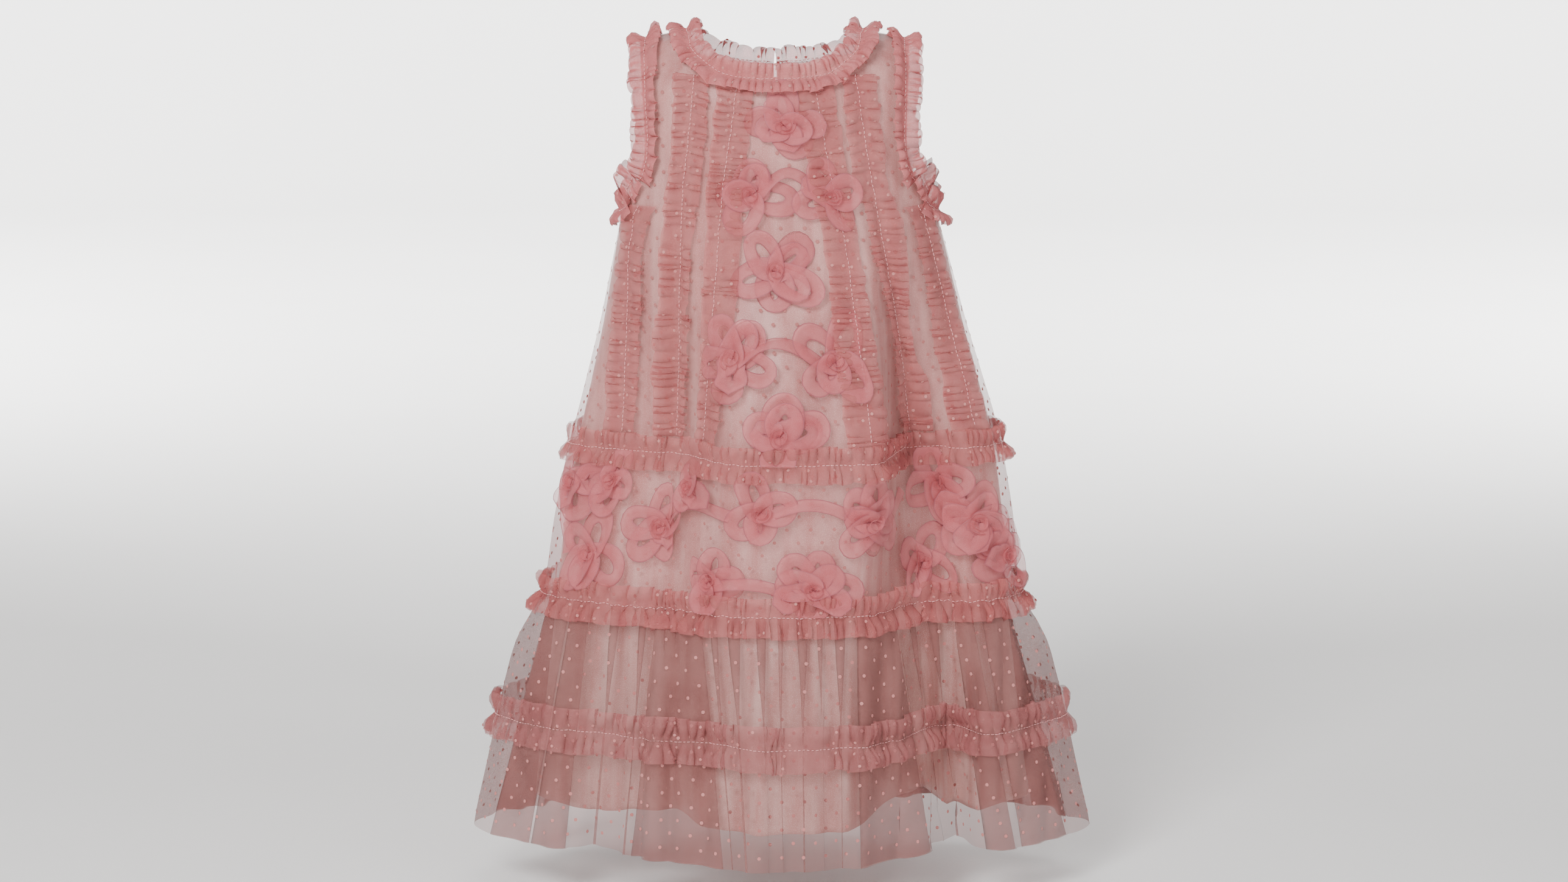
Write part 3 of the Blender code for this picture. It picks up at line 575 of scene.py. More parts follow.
# Polyester satin, woven: a pale rose ground; the pale streaks drawn out down its colour are a
# painted sheen, and the shader adds a soft sheen along its folds.
SATIN = cloth_look(
    "lining_satin", "polyester_satin_woven_painted_sheen", "#D3958F", "#FFDCD3", 1.2, 0.25, patch=12.0,
    patch_share=0.62, stretch=16.0, Roughness=0.34, Sheen_Weight=0.1)
# Organza ribbon, woven stiff and sheer, with denser edges.
RIBBON_BODY = cloth_look(
    "ruffle_tulle", "organza_ribbon_woven", "#C95C63", "#DE7C80", 0.9, 0.2, patch=12.0,
    Alpha=0.52, Roughness=0.6, Sheen_Weight=0.2)
RIBBON_EDGE = cloth_look(
    "ruffle_tulle", "organza_ribbon_edge", "#984750", "#AB5A62", 0.6, 0.2, Alpha=0.9, Roughness=0.6)
# Flocked nylon dots on the net: short fibres, quite matt.
FLOCK = cloth_look("tulle", "nylon_flock_dot", "#AB6562", "#BF7D78", 0.5, 0.3, Roughness=1.0)
# On the ruffles and the free net the dots take a paler copy of the flock, a painted highlight for
# the light that their fibres catch from the side.
FLOCK_PAINTED_LIGHT = cloth_look(
    "tulle", "nylon_flock_dot_painted_light", "#BC7773", "#CF8F8A", 0.5, 0.3, Roughness=1.0)
# Polyester sewing thread, spun and a shade lighter than the net.
THREAD = cloth_look(
    "ruffle_tulle", "polyester_thread_spun", "#EDA3A4", "#F6BDBC", 0.4, 0.2, Roughness=0.6)
# Moulded polyester button with a pearly gloss.
PEARL = cloth_look(
    "button_shell", "polyester_button_moulded", "#E0BDB8", "#EBD0CC", 2.5, 0.02,
    Roughness=0.22, Coat_Weight=0.5)


# The cloth layers.

STOPS = {
    FRONT: [-1.0, -SIDE_LINE, -NECK_LINE, -PANEL_LINE, PANEL_LINE, NECK_LINE, SIDE_LINE, 1.0],
    BACK: [-1.0, -NECK_LINE, 0.0, NECK_LINE, 1.0],
}
# How far the net and the satin lie off the surface that both follow.
NET_OUT = 0.0008
SATIN_OUT = -0.0004
SATIN_THICKNESS = 0.0006
HEM_FOLD = 0.0065
# Cell sizes of the grids: down the cloth, and along the pleats of the flounce.
DOWN_STEP = 0.004
PLY_STEP = 0.006


def body_cloth(side, layer, low, out):
    levels = finer([0.0, -0.004, NECK_LEVEL[side], UNDERARM, low], DOWN_STEP)
    return Cloth(side, layer, finer(STOPS[side], 0.014), levels, out)


def below_neck(cloth, i, j):
    in_strap = cloth.columns[j] >= NECK_LINE - 1e-6 or cloth.columns[j + 1] <= -NECK_LINE + 1e-6
    return in_strap or cloth.levels[i] <= NECK_LEVEL[cloth.side] + 1e-9


def cloth_piece(name, cloth, node, look, span=(-1.0, 1.0)):
    """A piece of a cloth layer between two columns; the back's middle edges part at the slit."""
    first, last = (int(np.argmin(np.abs(cloth.columns - end))) for end in span)
    points = cloth.points[:, first:last + 1].copy()
    if cloth.side == BACK and 0.0 in span:
        edge, sign = (0, 1) if span[0] == 0.0 else (-1, -1)
        z = points[:, edge, 2]
        opening = SLIT_HALF * np.sin(math.pi * clamp(-z / BACK_SLIT))
        points[:, edge, 0] = between(SWAYS, z, "x") + sign * opening
    faces = grid_faces(*points.shape[:2], lambda i, j: below_neck(cloth, i, j + first))
    return make_sheet(name, node, points, faces, look)


def ply_edges(cloth, i, ply):
    """Across at both edges of a pleat at a level; narrow pleats open out on the way down."""
    share = (ROW_2 - cloth.levels[i]) / (ROW_2 - TULLE_HEM)
    left = ply.left_row * (1 - share) + ply.left_hem * share
    right = ply.right_row * (1 - share) + ply.right_hem * share
    middle, half = (left + right) / 2, (right - left) / 2
    if ply.right_hem - ply.left_hem < NARROW_PLY:
        half *= 1 - 0.92 * smooth_step(share / 0.5)
    xs = [middle - half, middle + half]
    return np.interp(xs, np.maximum.accumulate(cloth.points[i, :, 0]), cloth.columns)


def flounce_piece(name, cloth, node):
    """The flounce with its pleats folded over: out to the far edge, back and out again."""
    plies = PLIES[cloth.side]
    turns = []
    for i in range(len(cloth.levels)):
        edges = [ply_edges(cloth, i, ply) for ply in plies]
        turns.append([-1.0] + [turn for left, right in edges for turn in (left, right) * 2] + [1.0])
    turns = np.array(turns).T
    widths = np.abs(np.diff(turns, axis=0)).mean(axis=1)
    counts = [max(3, math.ceil(width / PLY_STEP)) for width in widths]
    legs = [np.linspace(a, b, count, endpoint=False)
            for a, b, count in zip(turns, turns[1:], counts)]
    across = np.concatenate(legs + [turns[-1:]]).T
    lift = np.repeat([0.0] + [0.0, 0.0, 1.0, 2.0] * len(plies) + [0.0], [1] + counts)
    lift = np.convolve(np.pad(lift, 1, mode="edge"), [0.25, 0.5, 0.25], mode="valid") * PLY_LIFT
    levels = cloth.levels[:, None]
    points, normals = cloth.at(across, levels)
    points = points + normals * (lift * smooth_step((ROW_2 - levels) / 0.02))[..., None]
    # The flounce takes the net copies painted darker, a painted shade.
    make_sheet(
        name, node, points, grid_faces(*points.shape[:2]), SHADED_FLOUNCE[cloth.side])


def ply_lift(cloth, across, level):
    """How far the outermost ply stands off the cloth at places of one level."""
    i = int(np.argmin(np.abs(cloth.levels - level)))
    lift = np.zeros(len(across))
    for ply in PLIES[cloth.side]:
        left, right = ply_edges(cloth, i, ply)
        lift[(across > left) & (across < right)] = 2 * PLY_LIFT
    return lift


def build_lining():
    """The satin, with a thickness, so that its edges show, and the thread of its hem."""
    front, back = (body_cloth(side, "lining", LINING_HEM, SATIN_OUT) for side in (FRONT, BACK))
    for word, cloth, span in (
        ("front", front, (-1.0, 1.0)),
        ("back_left", back, (-1.0, 0.0)),
        ("back_right", back, (0.0, 1.0)),
    ):
        piece = cloth_piece("satin_" + word, cloth, "lining_" + word, SATIN, span)
        shell = piece.modifiers.new("thickness", "SOLIDIFY")
        shell.thickness, shell.offset = SATIN_THICKNESS, -1.0
    for cloth in (front, back):
        line, normals = cloth.at(np.linspace(-0.99, 0.99, 260), LINING_HEM + HEM_FOLD)
        stitches.append((line + normals * 0.0003, np.tile([0.0, 0.0, 1.0], (len(line), 1))))


def build_overlay():
    """The panels above the first row, then the band and the flounce."""
    front, back = (body_cloth(side, "tulle", ROW_1, NET_OUT) for side in (FRONT, BACK))
    for name, cloth, node, span in (
        ("net_side_left", front, "side_front_left", (-1.0, -PANEL_LINE)),
        ("net_centre", front, "centre_panel", (-PANEL_LINE, PANEL_LINE)),
        ("net_side_right", front, "side_front_right", (PANEL_LINE, 1.0)),
        ("net_back_left", back, "back_left", (-1.0, 0.0)),
        ("net_back_right", back, "back_right", (0.0, 1.0)),
    ):
        cloth_piece(name, cloth, node, TULLE, span)
    layers = {}
    for (side, word), body in zip(SIDES, (front, back)):
        band, flounce = (
            Cloth(side, "tulle", finer(STOPS[side], step), finer(seams, DOWN_STEP), NET_OUT)
            for step, seams in ((0.012, [ROW_1, ROW_2]), (0.005, [ROW_2, ROW_3, TULLE_HEM])))
        cloth_piece("net_band_" + word, band, "band_" + word, TULLE)
        flounce_piece("net_flounce_" + word, flounce, "flounce_" + word)
        layers[side] = (body, band, flounce)
    return layers


# Ruffles.

# Points along each pleat, how far neighbouring pleats overlap, and the points across a strip.
PER_WAVE = 10
OVERLAP = 0.34
ACROSS = np.array([-1.0, -0.76, -0.5, -0.24, 0.0, 0.24, 0.5, 0.76, 1.0])
SEAM = ACROSS.size // 2
# Steps for measuring directions: in shares of a run, in height, and from the neck's edge into the
# cloth, across the strap and down.
RUN_STEP = 0.004
LEVEL_STEP = 0.002
STRAP_STEP = 0.05
NECK_STEP = -0.008
# The tight ruffles of the neck and the armholes.
EDGE_LIFT = 0.0046
EDGE_FAN = 0.0040
# How far a strip's edges wander sideways, how high its seam and the thread on it lie, and how far
# the seam puckers.
WANDER = 0.0016
SEAM_LIFT = 0.0009
THREAD_LIFT = 0.0018
PUCKER = 0.0004


def wave_values(rng, waves, phase, low, high, closed):
    values = rng.uniform(low, high, waves + 1)
    if closed:
        values[-1] = values[0]
    return np.interp(phase, np.arange(waves + 1), values)


def gather(name, node, spine, length, pitch, lift, seed, fan=0.0016, look=RUFFLE, closed=False):
    """A double-edged gathered strip, sewn down its middle.

    spine(share, across) gives points, outward directions and the direction of the run; the pleats
    overlap towards the edges, and fan is how far they stand up there, each one differently.
    """
    rng = np.random.default_rng(seed)
    waves = max(5, round(length / pitch))
    widths = rng.lognormal(0.0, 0.45, waves)
    ends = np.concatenate([[0.0], np.cumsum(widths)]) / widths.sum()
    phase = np.arange(waves * PER_WAVE + (0 if closed else 1)) / PER_WAVE
    share = np.interp(phase, np.arange(waves + 1), ends)
    base, normals, runs = spine(share[:, None], ACROSS[None, :])
    flare = np.abs(ACROSS)[None, :] ** 0.9
    curl = np.sin(2.25 * np.abs(ACROSS))[None, :]
    height, slide, reach = np.zeros((3,) + base.shape[:2])

    def draw(low, high):
        return wave_values(rng, waves, phase, low, high, closed)[:, None]

    for leg in (-1, 1):
        on_leg = (np.sign(ACROSS) == leg)[None, :]
        size, lean, out = draw(0.35, 1.25), draw(-1.5, 1.5), draw(-1.0, 1.0)
        stand = fan * draw(-0.25, 1.6)
        turn = TURN * phase[:, None] + lean * flare
        crest = (1 - np.cos(turn)) / 2
        height = np.where(on_leg, lift * curl * size * crest + stand * curl ** 2, height)
        slide = np.where(on_leg, -OVERLAP * pitch * flare * size * np.sin(turn), slide)
        reach = np.where(on_leg, out * flare * WANDER, reach)
    height[:, SEAM] += PUCKER * (1 - np.cos(TURN * phase))
    height += SEAM_LIFT
    side = np.cross(normals, runs)
    points = base + normals * height[..., None] + runs * slide[..., None] + side * reach[..., None]
    faces = grid_faces(*points.shape[:2], closed=closed)
    grid = np.concatenate([points, points[:1]]) if closed else points
    make_sheet(name, node, points, faces, look, grid.transpose(1, 0, 2))
    outward = unit(np.cross(np.gradient(points, axis=0), np.gradient(points, axis=1)))
    outward *= np.where((outward * normals).sum(-1, keepdims=True) < 0, -1.0, 1.0)
    stitches.append((base[:, SEAM] + normals[:, SEAM] * THREAD_LIFT, side[:, SEAM]))
    strips.append((points, outward))


def row_spine(upper, lower, row):
    """Spine of a ruffle along a level; the cloth above the seam carries its upper edge."""
    samples = np.linspace(-1.0, 1.0, 900)
    run = run_along(lower.at(samples, row.level)[0])

    def spine(share, across):
        columns = np.interp(share, run / run[-1], samples)
        columns, level = np.broadcast_arrays(columns, row.level + across * row.half)
        above = (level > lower.levels[0])[..., None]
        pairs = zip(upper.at(columns, level), lower.at(columns, level))
        points, normals = (np.where(above, high, low) for high, low in pairs)
        ahead, behind = (lower.at(np.clip(columns + step, -1, 1), row.level)[0]
                         for step in (RUN_STEP, -RUN_STEP))
        return points, normals, unit(ahead - behind)
    return spine, run[-1]


def upright_spine(cloth, middle, start):
    levels = np.linspace(start, UPRIGHT_END, 60)
    paces = cloth.pace(middle, levels)

    def spine(share, across):
        level = start + (UPRIGHT_END - start) * share
        column = middle + across * UPRIGHT_HALF / np.interp(-level, -levels, paces)
        points, normals = cloth.at(np.clip(column, -1, 1), level)
        below, above = (cloth.at(column, level + step)[0] for step in (-LEVEL_STEP, LEVEL_STEP))
        return points, normals, unit(below - above)
    return spine, run_along(cloth.at(middle, levels)[0])[-1]


def edge_stations(cloth, places, step):
    """Edge points, outward directions and directions into the cloth at places along an edge."""
    across, level = np.array(places, float).T
    points, normals = cloth.at(across, level)
    inner = cloth.at(across + step[0], level + step[1])[0]
    return np.concatenate([points, normals, inner - points], axis=1)


def rounded(line, closed):
    """Corner cutting, twice, along a line of stations."""
    for _ in range(2):
        after = np.roll(line, -1, axis=0)
        pairs = np.stack([line * 0.75 + after * 0.25, line * 0.25 + after * 0.75], axis=1)
        cut = pairs.reshape(-1, line.shape[1])
        line = cut if closed else np.concatenate([line[:1], cut[1:-2], line[-1:]])
    return line


def edge_spine(line, inner_half, outer_half, inside, closed):
    """Spine of a ruffle sewn on at an edge: one leg lies on the cloth, one passes the edge."""
    line = rounded(line, closed)
    loop = np.concatenate([line, line[:1]]) if closed else line
    run = run_along(loop[:, :3])

    def station(share, columns):
        return np.stack([np.interp(share, run / run[-1], v) for v in loop.T[:columns]], axis=1)

    def spine(share, across):
        share = share[:, 0]
        row = station(share, 9)
        ahead, behind = (station(wrap(share + step, closed), 3) for step in (RUN_STEP, -RUN_STEP))
        runs = unit(ahead - behind)
        normal = unit(square_to(row[:, 3:6], runs))
        inward = unit(square_to(square_to(row[:, 6:9], runs), normal))
        half = np.where(across < 0, inner_half, outer_half)
        points = row[:, None, :3] - inward[:, None] * (across * half - inside)[..., None]
        points = points + normal[:, None] * np.where(across < 0, 0.0016 * -across, 0.0)[..., None]
        return (points,) + tuple(np.broadcast_to(v[:, None], points.shape) for v in (normal, runs))
    return spine, run[-1]


def wrap(share, closed):
    return share % 1.0 if closed else clamp(share)


def neck_line(cloth):
    """Stations from the left shoulder seam down the strap, along the neck edge and up again."""
    neck = NECK_LEVEL[cloth.side]
    strap = np.linspace(0.0, neck, 6)[1:-2]
    row = np.linspace(-NECK_LINE, NECK_LINE, 15)[2:-2]
    return np.concatenate([
        edge_stations(cloth, [(-NECK_LINE, v) for v in strap], (-STRAP_STEP, 0.0)),
        edge_stations(cloth, [(c, neck) for c in row], (0.0, NECK_STEP)),
        edge_stations(cloth, [(NECK_LINE, v) for v in strap[::-1]], (STRAP_STEP, 0.0)),
    ])


def build_neck_ruffle(front, back):
    """Once round the neck, from one side of the slit to the other."""
    behind, before = neck_line(back), neck_line(front)
    middle = len(behind) // 2
    slit = edge_stations(back, [(s * 0.007, NECK_LEVEL[BACK]) for s in (1, -1)], (0.0, NECK_STEP))
    ridge = [edge_stations(front, [(s * NECK_LINE, 0.0)], (s * STRAP_STEP, 0.0)) for s in (1, -1)]
    line = np.concatenate([
        slit[:1], behind[middle + 1:], ridge[0], before[::-1], ridge[1], behind[:middle], slit[1:]])
    spine, length = edge_spine(line, 0.0125, 0.0105, 0.0, False)
    gather("gathered_neck", "neck_ruffle", spine, length, 0.0058, EDGE_LIFT, 61, EDGE_FAN,
           EDGE_RUFFLE)


def build_armhole_ruffle(front, back, sign, word):
    """Round an armhole; below the bend, the way into the cloth turns from sideways to down."""
    levels = np.linspace(0.0, UNDERARM, 14)
    stations = []
    for cloth, level in [(front, v) for v in levels] + [(back, v) for v in levels[-2:0:-1]]:
        aside = float(smooth_step((level - UNDERARM) / (ARMHOLE_BEND - UNDERARM)))
        step = (-sign * (1 - SIDE_LINE) * aside, (UNDERARM - ARMHOLE_BEND) / 2 * (1 - aside))
        stations.append(edge_stations(cloth, [(sign, level)], step))
    spine, length = edge_spine(np.concatenate(stations), 0.0115, 0.0120, 0.0040, True)
    gather("gathered_armhole_" + word, "armhole_ruffle_" + word, spine, length, 0.0060, EDGE_LIFT,
           70 + sign, EDGE_FAN, EDGE_RUFFLE, closed=True)


def build_ruffles(layers):
    seed = 20
    for side, word in SIDES:
        body, band, flounce = layers[side]
        # The third row takes the ruffle net painted darker, a painted shade.
        looks = (RUFFLE, RUFFLE, SHADED_LOW_RUFFLE)
        pairs = ((body, band), (band, flounce), (flounce, flounce))
        for row, look, (upper, lower) in zip(ROWS, looks, pairs):
            seed += 1
            node = f"row_{ROWS.index(row) + 1}_{word}"
            gather("gathered_" + node, node, *row_spine(upper, lower, row), row.pitch, row.lift,
                   seed, look=look)
    front, back = layers[FRONT][0], layers[BACK][0]
    for place, middle, start in UPRIGHTS:
        seed += 1
        gather("gathered_" + place, "ruffle_" + place, *upright_spine(front, middle, start),
               UPRIGHT_PITCH, UPRIGHT_LIFT, seed)
    build_neck_ruffle(front, back)
    for sign, word in ((-1, "left"), (1, "right")):
        build_armhole_ruffle(front, back, sign, word)


def ring(middle, direction, aside, radius, count):
    """Points of a circle round a place, square to a direction; aside fixes where it starts."""
    one = unit(np.cross(direction, aside), 1e-9)
    two = np.cross(direction, one)
    turn = np.linspace(0, TURN, count + 1)[:-1]
    return middle + radius * (np.outer(np.cos(turn), one) + np.outer(np.sin(turn), two))


THREAD_RADIUS = 0.00030
STITCH_PITCH = 0.0031
STRAY, STRAY_STEP = 0.0005, 0.004


def build_stitches():
    """Lockstitches down the middle of every ruffle and along the lining's hem."""
    points, faces = [], []
    rng = np.random.default_rng(11)
    for line, sides in stitches:
        run = run_along(line)
        knots = np.arange(0.0, run[-1] + STRAY_STEP, STRAY_STEP)
        stray = np.interp(run, knots, rng.uniform(-1, 1, len(knots)))
        line = line + sides * (STRAY * stray)[:, None]
        for k in range(int(run[-1] / STITCH_PITCH)):
            reach = rng.uniform(0.0001, 0.0006), rng.uniform(0.0019, 0.0026)
            places = k * STITCH_PITCH + np.array(reach)
            ends = np.stack([np.interp(places, run, column) for column in line.T], axis=1)
            along = unit(ends[1] - ends[0], 1e-9)
            a, b, c, d = range(len(points), len(points) + 4)
            for end in ends:
                points.extend(ring(end, along, (0.31, 0.53, 0.79), THREAD_RADIUS, 4))
            faces += [(v, w, w + 4, v + 4) for v, w in ((a, b), (b, c), (c, d), (d, a))]
            faces += [(d, c, b, a), (a + 4, b + 4, c + 4, d + 4)]
    make_piece("stitching", points, faces, THREAD)


# Dots.

def dot_mesh(name, places, look, radius=DOT_RADIUS):
    """Small flat dots, each a fan of six, at pairs of place and outward direction."""
    points, faces = [], []
    for place, normal in places:
        start = len(points)
        points.append(place + normal * 0.0005)
        points.extend(ring(place + normal * 0.0002, normal, (0.13, 0.21, 0.97), radius, 6))
        faces += [(start, start + 1 + a, start + 1 + (a + 1) % 6) for a in range(6)]
    make_piece(name, points, faces, look)


def cloth_dots(cloth, top, low):
    """Dots in staggered rows: those over the lining, and those over folded or free net, which take
    the paler flock painted with light.
    """
    dark, pale = [], []
    samples = np.linspace(-0.995, 0.995, 500)
    first, last = math.ceil(-top / DOT_DOWN), math.floor(-low / DOT_DOWN)
    for k in range(first, last + 1):
        level = -k * DOT_DOWN
        run = run_along(cloth.at(samples, level)[0])
        run -= np.interp(0.0, samples, run)
        start = DOT_ALONG / 2 * (k % 2)
        left, right = (run[[0, -1]] - start) / DOT_ALONG
        steps = np.arange(math.ceil(left), math.floor(right) + 1)
        columns = np.interp(start + steps * DOT_ALONG, run, samples)
        if level > NECK_LEVEL[cloth.side]:
            columns = columns[np.abs(columns) > NECK_LINE]
        points, normals = cloth.at(columns, level)
        # Dots over folded or free net are kept apart for the paler flock, a painted highlight.
        free = np.zeros(len(columns), bool)
        if level < ROW_2:
            lift = ply_lift(cloth, columns, level)
            points = points + normals * lift[:, None]
            free = (lift > 0) | (level < LINING_HEM) | (np.abs(columns) > SIDE_LINE)
        dark += list(zip(points[~free], normals[~free]))
        pale += list(zip(points[free], normals[free]))
    return dark, pale


def strip_dots(points, normals, rng):
    """Dots over a ruffle, closer together along it because its cloth is drawn up."""
    found = []
    for number, j in enumerate((1, 3, 5, 7)):
        i = PER_WAVE * (0.4 + 0.7 * (number % 2))
        while i < len(points) - 1:
            found.append((points[int(i), j], normals[int(i), j]))
            i += PER_WAVE * 2.1 * (1 + 0.3 * rng.uniform(-1, 1))
    return found


def build_dots(layers):
    dark, pale = [], []
    tops = (-0.002, ROW_1 - 0.006, ROW_2 - 0.006)
    lows = (ROW_1 + 0.006, ROW_2 + 0.006, TULLE_HEM + 0.003)
    for side in (FRONT, BACK):
        for span in zip(layers[side], tops, lows):
            over_satin, over_net = cloth_dots(*span)
            dark += over_satin
            pale += over_net
    dot_mesh("dots_over_satin", dark, FLOCK)
    dot_mesh("dots_over_net_painted_light", pale, FLOCK_PAINTED_LIGHT)
    rng = np.random.default_rng(5)
    on_ruffles = [place for strip in strips for place in strip_dots(*strip, rng)]
    dot_mesh("dots_on_ruffles_painted_light", on_ruffles, FLOCK_PAINTED_LIGHT, RUFFLE_DOT_RADIUS)


# Ribbon flowers.

def laid_on(cloth, flower, aside, up, height):
    """Points at distances aside and up from a flower's middle, following the cloth."""
    across = cloth.across_of(flower.x, flower.z)
    pace = float(cloth.pace(across, flower.z))
    points, normals = cloth.at(np.clip(across + aside / pace, -0.995, 0.995), flower.z + up)
    return points + normals * height[..., None]


RIBBON_SHARES = np.array([0.0, 0.07, 0.35, 0.65, 0.93, 1.0])


def ribbon_grid(line, lean, low, width):
    """Offsets of a ribbon that leans outward from a flat line, which runs anticlockwise.

    Returns aside, up and height for each point; lean is the angle off the cloth along the line.
    """
    along = unit(np.gradient(line, axis=0), 1e-9)
    outward = np.stack([along[:, 1], -along[:, 0]], axis=1)
    lean, width = (np.broadcast_to(value, line.shape[:1])[:, None] for value in (lean, width))
    share = RIBBON_SHARES[None, :] * width
    flat = share * np.cos(lean)
    curl = 0.10 * width * np.sin(math.pi * RIBBON_SHARES)[None, :]
    aside = line[:, :1] + outward[:, :1] * flat
    up = line[:, 1:] + outward[:, 1:] * flat
    return aside, up, low + share * np.sin(lean) + curl


def ribbon_loop(angle, reach, wide, low, rng, filled=False):
    """A rounded ring of ribbon, stitched down at its root; a filled one has hardly an eye."""
    t = np.linspace(0.0, 1.0, 37)
    swell = np.sin(math.pi * t)
    lean = rng.uniform(0.05, 0.35) + 0.25 * np.sin(TURN * t + rng.uniform(0, 6.3))
    uneven = 1 + 0.14 * np.sin(2 * TURN * t + rng.uniform(0, 6.3))
    band = RIBBON * (0.62 + 0.45 * swell ** 0.5) * uneven
    flat = 0.88 * RIBBON
    inner_long = reach - flat
    inner_wide = max(wide - 2 * flat, reach * (0.05 if filled else 0.25))
    out = inner_long * (1 - np.cos(TURN * t)) / 2
    aside = -inner_wide / 2 * np.sin(TURN * t) * swell ** 0.5
    aside = aside + 0.16 * reach * rng.uniform(-1, 1) * swell ** 2
    line = np.stack([
        out * math.cos(angle) - aside * math.sin(angle),
        out * math.sin(angle) + aside * math.cos(angle)], axis=1)
    return ribbon_grid(line, lean, low, band)


def flower_ribbons(flower, rng):
    """Open and filled loops round the middle, smaller ones inside some, and a rolled bud."""
    found = []
    for k, (degrees, length, width) in enumerate(LOOPS[flower.form]):
        angle = flower.turn + math.radians(degrees) + rng.uniform(-0.15, 0.15)
        reach = flower.size * length * rng.uniform(0.93, 1.07)
        low = 0.0006 + 0.0008 * (k % 3)
        filled = rng.random() < 0.42
        found.append(ribbon_loop(angle, reach, reach * width, low, rng, filled))
        if rng.random() < 0.45:
            aside = rng.choice((-1, 1)) * rng.uniform(0.25, 0.45)
            found.append(ribbon_loop(
                angle + aside, reach * rng.uniform(0.70, 0.86), reach * width * 0.8, low + 0.0014,
                rng, not filled))
    t = np.linspace(0.0, 1.0, 45)
    turn = flower.turn + TURN * 1.7 * t
    size = (0.0014 + 0.0042 * t ** 0.8) * (1 + 0.10 * np.sin(2 * turn + flower.x * 400))
    line = np.stack([size * np.cos(turn), size * np.sin(turn)], axis=1)
    found.append(ribbon_grid(line, 1.42 - 0.20 * t, 0.0024, RIBBON * 0.50))
    return found


def build_flowers(name, cloth, flowers, arcs, seed):
    rng = np.random.default_rng(seed)
    points, faces, ribbon_length = [], [], 0.0

    def lay(middle, grid):
        nonlocal ribbon_length
        placed = laid_on(cloth, middle, *grid)
        start = len(points)
        points.extend(placed.reshape(-1, 3))
        faces.extend(tuple(start + v for v in face) for face in grid_faces(*placed.shape[:2]))
        ribbon_length += float(np.linalg.norm(np.diff(placed[:, 2], axis=0), axis=1).sum())

    for flower in flowers:
        for grid in flower_ribbons(flower, rng):
            lay(flower, grid)
    for first, second, rise in arcs:
        a, b = flowers[first], flowers[second]
        t = np.linspace(0.0, 1.0, 21)
        line = np.stack([(b.x - a.x) * t, (b.z - a.z) * t + rise * np.sin(math.pi * t)], axis=1)
        lay(a, ribbon_grid(line, 0.30 + 0.3 * np.sin(TURN * t), 0.0008, RIBBON * 0.9))
    piece = make_piece(name, points, faces, RIBBON_BODY)
    piece.data.materials.append(RIBBON_EDGE.material)
    across_cells = len(RIBBON_SHARES) - 1
    for index, polygon in enumerate(piece.data.polygons):
        polygon.material_index = 1 if index % across_cells in (0, across_cells - 1) else 0


def build_button():
    """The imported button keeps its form, with a rounded rim, and a thread loop holds it."""
    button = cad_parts["button"]
    button.data.materials.clear()
    button.data.materials.append(PEARL.material)
    rim = button.modifiers.new("rim", "BEVEL")
    rim.width, rim.segments = 0.0006, 3
    x, y, z = np.mean(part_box("button"), axis=0)
    line = np.array([
        (x + 0.0012 + 0.0052 * math.sin(turn), y - 0.0004, z - 0.0052 * math.cos(turn))
        for turn in np.linspace(-2.35, 2.35, 30)])
    along = unit(np.gradient(line, axis=0))
    rings = np.array([ring(*place, (0.2, 0.9, 0.3), 0.0006, 8) for place in zip(line, along)])
    rings = np.concatenate([rings, rings[:, :1]], axis=1)
    make_piece("thread_loop", rings, grid_faces(*rings.shape[:2]), THREAD)


# The studio.

FLOOR_Z = -0.605
COVE_Y, COVE_RADIUS = 4.2, 0.9
CAMERA_TILT = 9.4


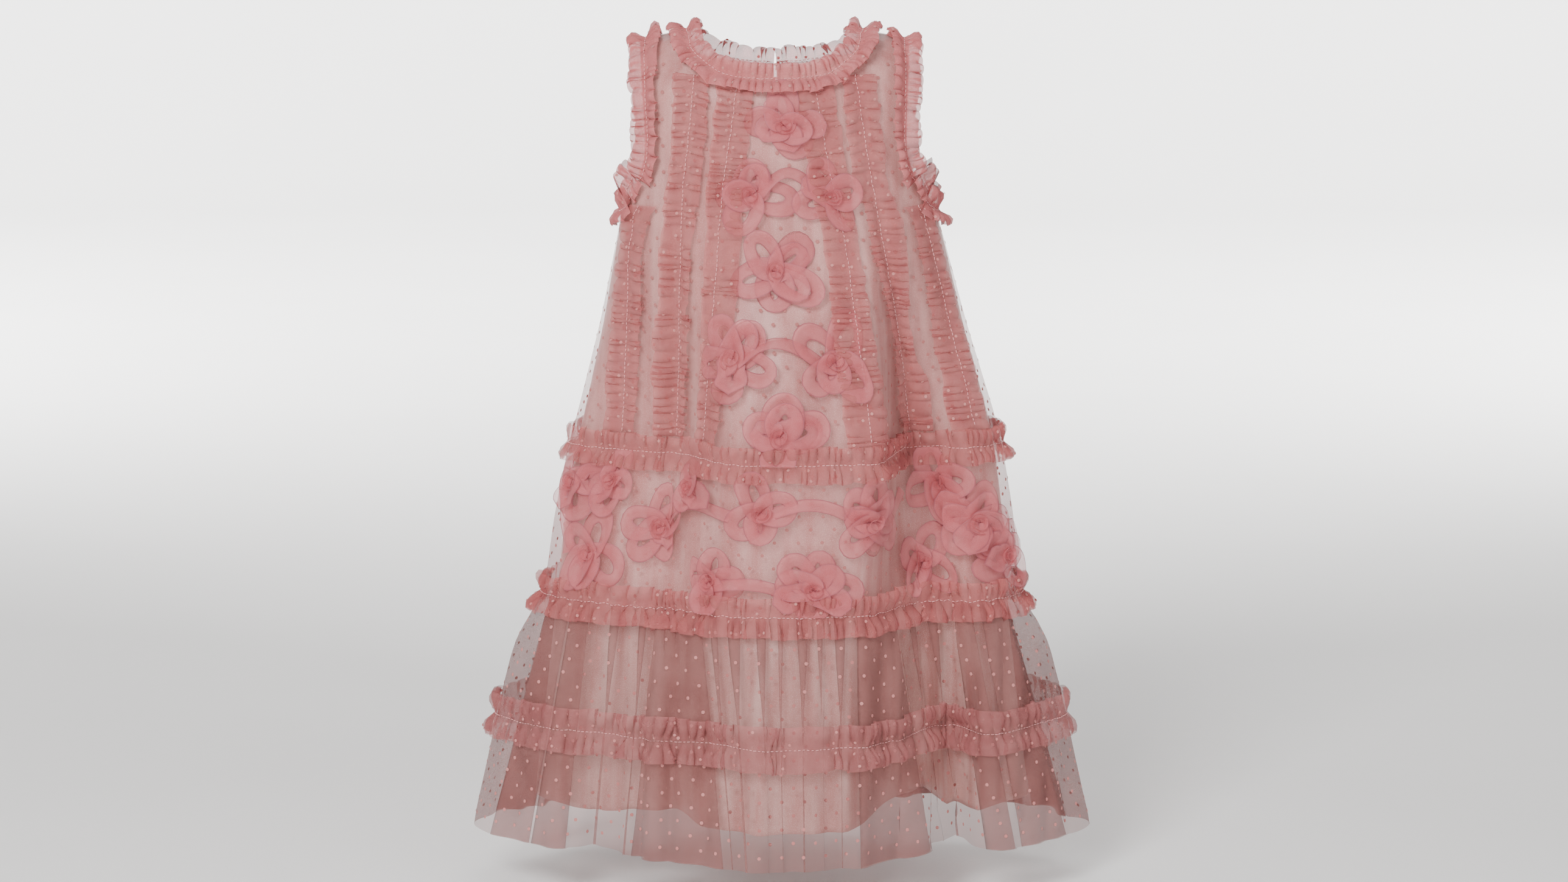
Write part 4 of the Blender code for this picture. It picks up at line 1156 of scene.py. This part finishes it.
def build_studio():
    """A floor that sweeps up into the backdrop, soft lamps, and a pale room."""
    cove = [(COVE_Y + COVE_RADIUS * math.sin(turn), FLOOR_Z + COVE_RADIUS * (1 - math.cos(turn)))
            for turn in np.linspace(0.0, math.pi / 2, 13)]
    profile = [(-6.0, FLOOR_Z), (-1.0, FLOOR_Z)] + cove + [(COVE_Y + COVE_RADIUS, 4.0)]
    points = [(x, y, z) for y, z in profile for x in (-6.0, -3.0, 0.0, 3.0, 6.0)]
    make_mesh("floor", points, grid_faces(len(profile), 5), cloth_material(
        "paper_backdrop_rolled", "#F2F1F0", "#F6F5F4", 3.0, 0.02, patch=300.0, Roughness=0.9))
    for name, place, aim, watts, size in (
        ("key", (-0.9, -2.3, 1.25), (0.0, 0.0, -0.15), 90.0, 0.9),
        ("fill", (2.2, -2.2, 0.4), (0.0, 0.0, -0.3), 22.0, 1.8),
        ("top", (0.0, 0.5, 2.4), (0.0, 0.0, -0.3), 16.0, 1.6),
        ("backdrop_left", (-2.0, 2.4, 0.9), (-0.6, 5.0, -0.5), 230.0, 1.6),
        ("backdrop_right", (2.0, 2.4, 0.9), (0.6, 5.0, -0.5), 230.0, 1.6),
    ):
        data = bpy.data.lights.new(name, "AREA")
        data.energy, data.size, data.shape = watts, size, "SQUARE"
        lamp = place_object(name, data)
        lamp.location = place
        lamp.rotation_mode = "QUATERNION"
        lamp.rotation_quaternion = (Vector(aim) - Vector(place)).to_track_quat("-Z", "Y")
    world = bpy.data.worlds.new("studio")
    world.use_nodes = True
    light = world.node_tree.nodes["Background"].inputs
    light["Color"].default_value = linear("#F4F2F2")
    light["Strength"].default_value = 0.50
    bpy.context.scene.world = world


def build_camera():
    data = bpy.data.cameras.new("camera")
    data.lens, data.sensor_width = 105.4, 36.0
    camera = place_object("camera", data)
    camera.location = (0.0017, -3.2, 0.24)
    camera.rotation_euler = (math.radians(90 - CAMERA_TILT), 0.0, 0.0)
    bpy.context.scene.camera = camera


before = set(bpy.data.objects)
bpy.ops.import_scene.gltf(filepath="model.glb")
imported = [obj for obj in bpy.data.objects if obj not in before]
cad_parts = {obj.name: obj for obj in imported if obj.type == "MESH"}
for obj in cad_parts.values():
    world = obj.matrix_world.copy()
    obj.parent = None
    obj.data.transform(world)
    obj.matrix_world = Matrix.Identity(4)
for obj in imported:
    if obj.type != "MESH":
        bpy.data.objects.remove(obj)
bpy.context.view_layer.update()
strips, stitches = [], []
build_lining()
layers = build_overlay()
build_ruffles(layers)
build_stitches()
build_dots(layers)
build_flowers("ribbon_flowers_centre", layers[FRONT][0], PANEL_FLOWERS, PANEL_ARCS, 3)
for side, word in SIDES:
    build_flowers("ribbon_flowers_band_" + word, layers[side][1], BAND_FLOWERS[side],
                  BAND_ARCS[side], 8 + side)
build_button()
build_studio()
build_camera()
